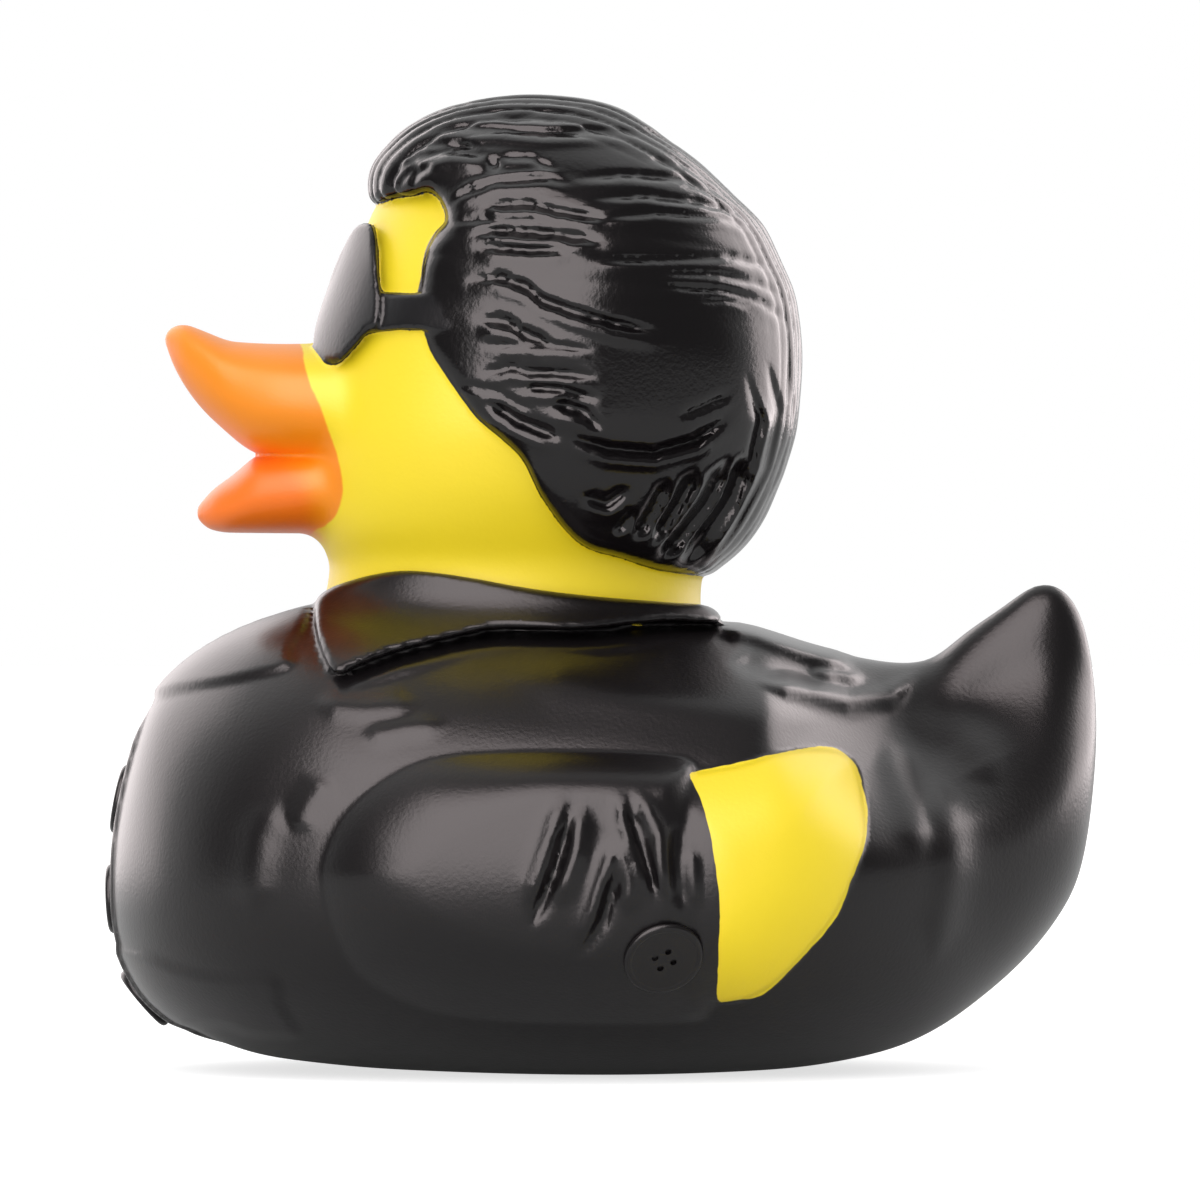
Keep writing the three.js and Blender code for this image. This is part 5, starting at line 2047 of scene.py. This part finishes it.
@dataclass(frozen=True)
class Lamp:
    """A soft box that faces the duck: where it hangs, its size and its light."""

    name: str
    distance: float
    azimuth: float
    height: float
    size: Point
    level: float
    gleam: bool = False

    def hang(self, target: Vector) -> None:
        """Put the lamp into the scene.

        Azimuth is its bearing from the camera's side, in degrees, to the left below 0, and height
        is how high it stands, in degrees. A level of 1 is a white face. A lamp that gleams shows
        only in the gloss of the paint and lights nothing.

        Args:
            target: What it faces.
        """
        data = bpy.data.lights.new(self.name, "AREA")
        data.shape = "RECTANGLE"
        data.size, data.size_y = self.size
        data.energy = self.level * math.pi * self.size[0] * self.size[1]
        data.color = GLEAM if self.gleam else WHITE
        lamp = show(self.name, data)
        lamp.visible_diffuse = not self.gleam
        bearing = math.radians(self.azimuth)
        rise = math.radians(self.height)
        level = math.cos(rise)
        way = Vector((math.sin(bearing) * level, -math.cos(bearing) * level, math.sin(rise)))
        lamp.location = target + way * self.distance
        lamp.rotation_euler = way.to_track_quat("Z", "Y").to_euler()


WHITE = (1.0, 1.0, 1.0)
GLEAM = (1.0, 0.88, 0.88)
LAMPS = (
    Lamp("key", 0.75, -22.0, 22.0, (1.0, 1.3), 0.92),
    Lamp("key_gleam", 0.74, -22.0, 33.0, (0.84, 1.35), 4.6, gleam=True),
    Lamp("rim_left", 0.7, -144.0, 8.0, (0.6, 0.9), 1.7, gleam=True),
    Lamp("rim_right", 0.7, 130.0, 8.0, (0.6, 0.9), 3.2, gleam=True),
)


@dataclass
class Studio:
    """A pale floor, soft light and the camera."""

    frame_width: float = 0.11064
    distance: float = EYE_DISTANCE * MILLIMETRE
    eye_x: float = EYE_X * MILLIMETRE
    eye_z: float = EYE_Z * MILLIMETRE
    sensor: float = 36.0
    floor_side: float = 6.0
    floor_paint: float = 0.78
    floor_seen: float = 0.7
    floor_mirrored: float = 0.04
    ambient: float = 0.85
    front_level: float = 0.16
    back_level: float = 1.0
    change: Point = (-0.1, 0.4)

    def build(self) -> None:
        """Set up the studio."""
        self.camera()
        self.floor()
        self.world()
        for lamp in LAMPS:
            lamp.hang(Vector((0.0, 0.0, self.eye_z)))
        bpy.context.scene.view_settings.view_transform = "Standard"

    def camera(self) -> None:
        """Place the camera square to the duck's left side."""
        data = bpy.data.cameras.new("camera")
        data.sensor_width = self.sensor
        data.lens = self.sensor * self.distance / self.frame_width
        data.clip_start = 0.01
        camera = show("camera", data)
        camera.location = (self.eye_x, -self.distance, self.eye_z)
        camera.rotation_euler = (math.radians(90.0), 0.0, 0.0)
        bpy.context.scene.camera = camera

    def floor(self) -> None:
        """Make the floor, white to the eye but for the duck's shadow."""
        side = self.floor_side
        mesh = bpy.data.meshes.new("floor")
        corners = [(-side, -side, 0.0), (side, -side, 0.0), (side, side, 0.0), (-side, side, 0.0)]
        mesh.from_pydata(corners, [], [(0, 1, 2, 3)])
        floor = show("floor", mesh)
        material = bpy.data.materials.new("floor")
        nodes = cleared(material)
        ray = nodes.add("ShaderNodeLightPath").outputs
        mirrored_ray = nodes.math("MAXIMUM", ray["Is Glossy Ray"], ray["Is Transmission Ray"])
        seen = nodes.math("MAXIMUM", ray["Is Camera Ray"], mirrored_ray)
        strength = nodes.between(ray["Is Camera Ray"], self.floor_mirrored, self.floor_seen)
        paint = nodes.add("ShaderNodeBsdfDiffuse", {"Color": (*[self.floor_paint] * 3, 1.0)})
        glow = nodes.add("ShaderNodeEmission", {"Color": (*WHITE, 1.0), "Strength": strength})
        both = nodes.add("ShaderNodeAddShader", {0: paint.outputs[0], 1: glow.outputs[0]})
        mixed = nodes.add("ShaderNodeMixShader", {0: seen, 1: paint.outputs[0], 2: both.outputs[0]})
        nodes.add("ShaderNodeOutputMaterial", {"Surface": mixed.outputs[0]})
        mesh.materials.append(material)

    def world(self) -> None:
        """Surround the duck with light: white to the eye, and dimmer in front to the gloss."""
        world = bpy.data.worlds.new("world")
        bpy.context.scene.world = world
        nodes = cleared(world)
        ray = nodes.add("ShaderNodeLightPath").outputs
        seen = nodes.math("MAXIMUM", ray["Is Camera Ray"], ray["Is Transmission Ray"])
        way = nodes.add("ShaderNodeTexCoord").outputs["Generated"]
        parts = nodes.add("ShaderNodeSeparateXYZ", {"Vector": way})
        start, end = self.change
        mirrored_level = nodes.add("ShaderNodeMapRange", {
            "Value": parts.outputs["Y"], "From Min": start, "From Max": end,
            "To Min": self.front_level, "To Max": self.back_level,
        }, interpolation_type="SMOOTHSTEP").outputs["Result"]
        level = nodes.between(ray["Is Glossy Ray"], self.ambient, mirrored_level)
        strength = nodes.between(seen, level, 1.0)
        sky = nodes.add("ShaderNodeBackground", {"Color": (*WHITE, 1.0), "Strength": strength})
        nodes.add("ShaderNodeOutputWorld", {"Surface": sky.outputs[0]})


def finish_piece(piece: bpy.types.Object) -> None:
    """Seat a piece in the frame and report it.

    Args:
        piece: The piece.
    """
    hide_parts(NODE)
    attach(piece, BODY)
    triangles = sum(len(face.vertices) - 2 for face in piece.data.polygons)
    LOG.info("%s: %d triangles", piece.name, triangles)


def main() -> None:
    """Build the studio and the duck."""
    logging.basicConfig(level=logging.INFO)
    begun = time.perf_counter()
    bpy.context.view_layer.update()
    Studio().build()
    duck = Duck()
    for build in (duck.build_body, duck.build_head, duck.build_buttons):
        finish_piece(build())
        LOG.info("made after %.0f s", time.perf_counter() - begun)


if __name__ == "__main__":
    main()
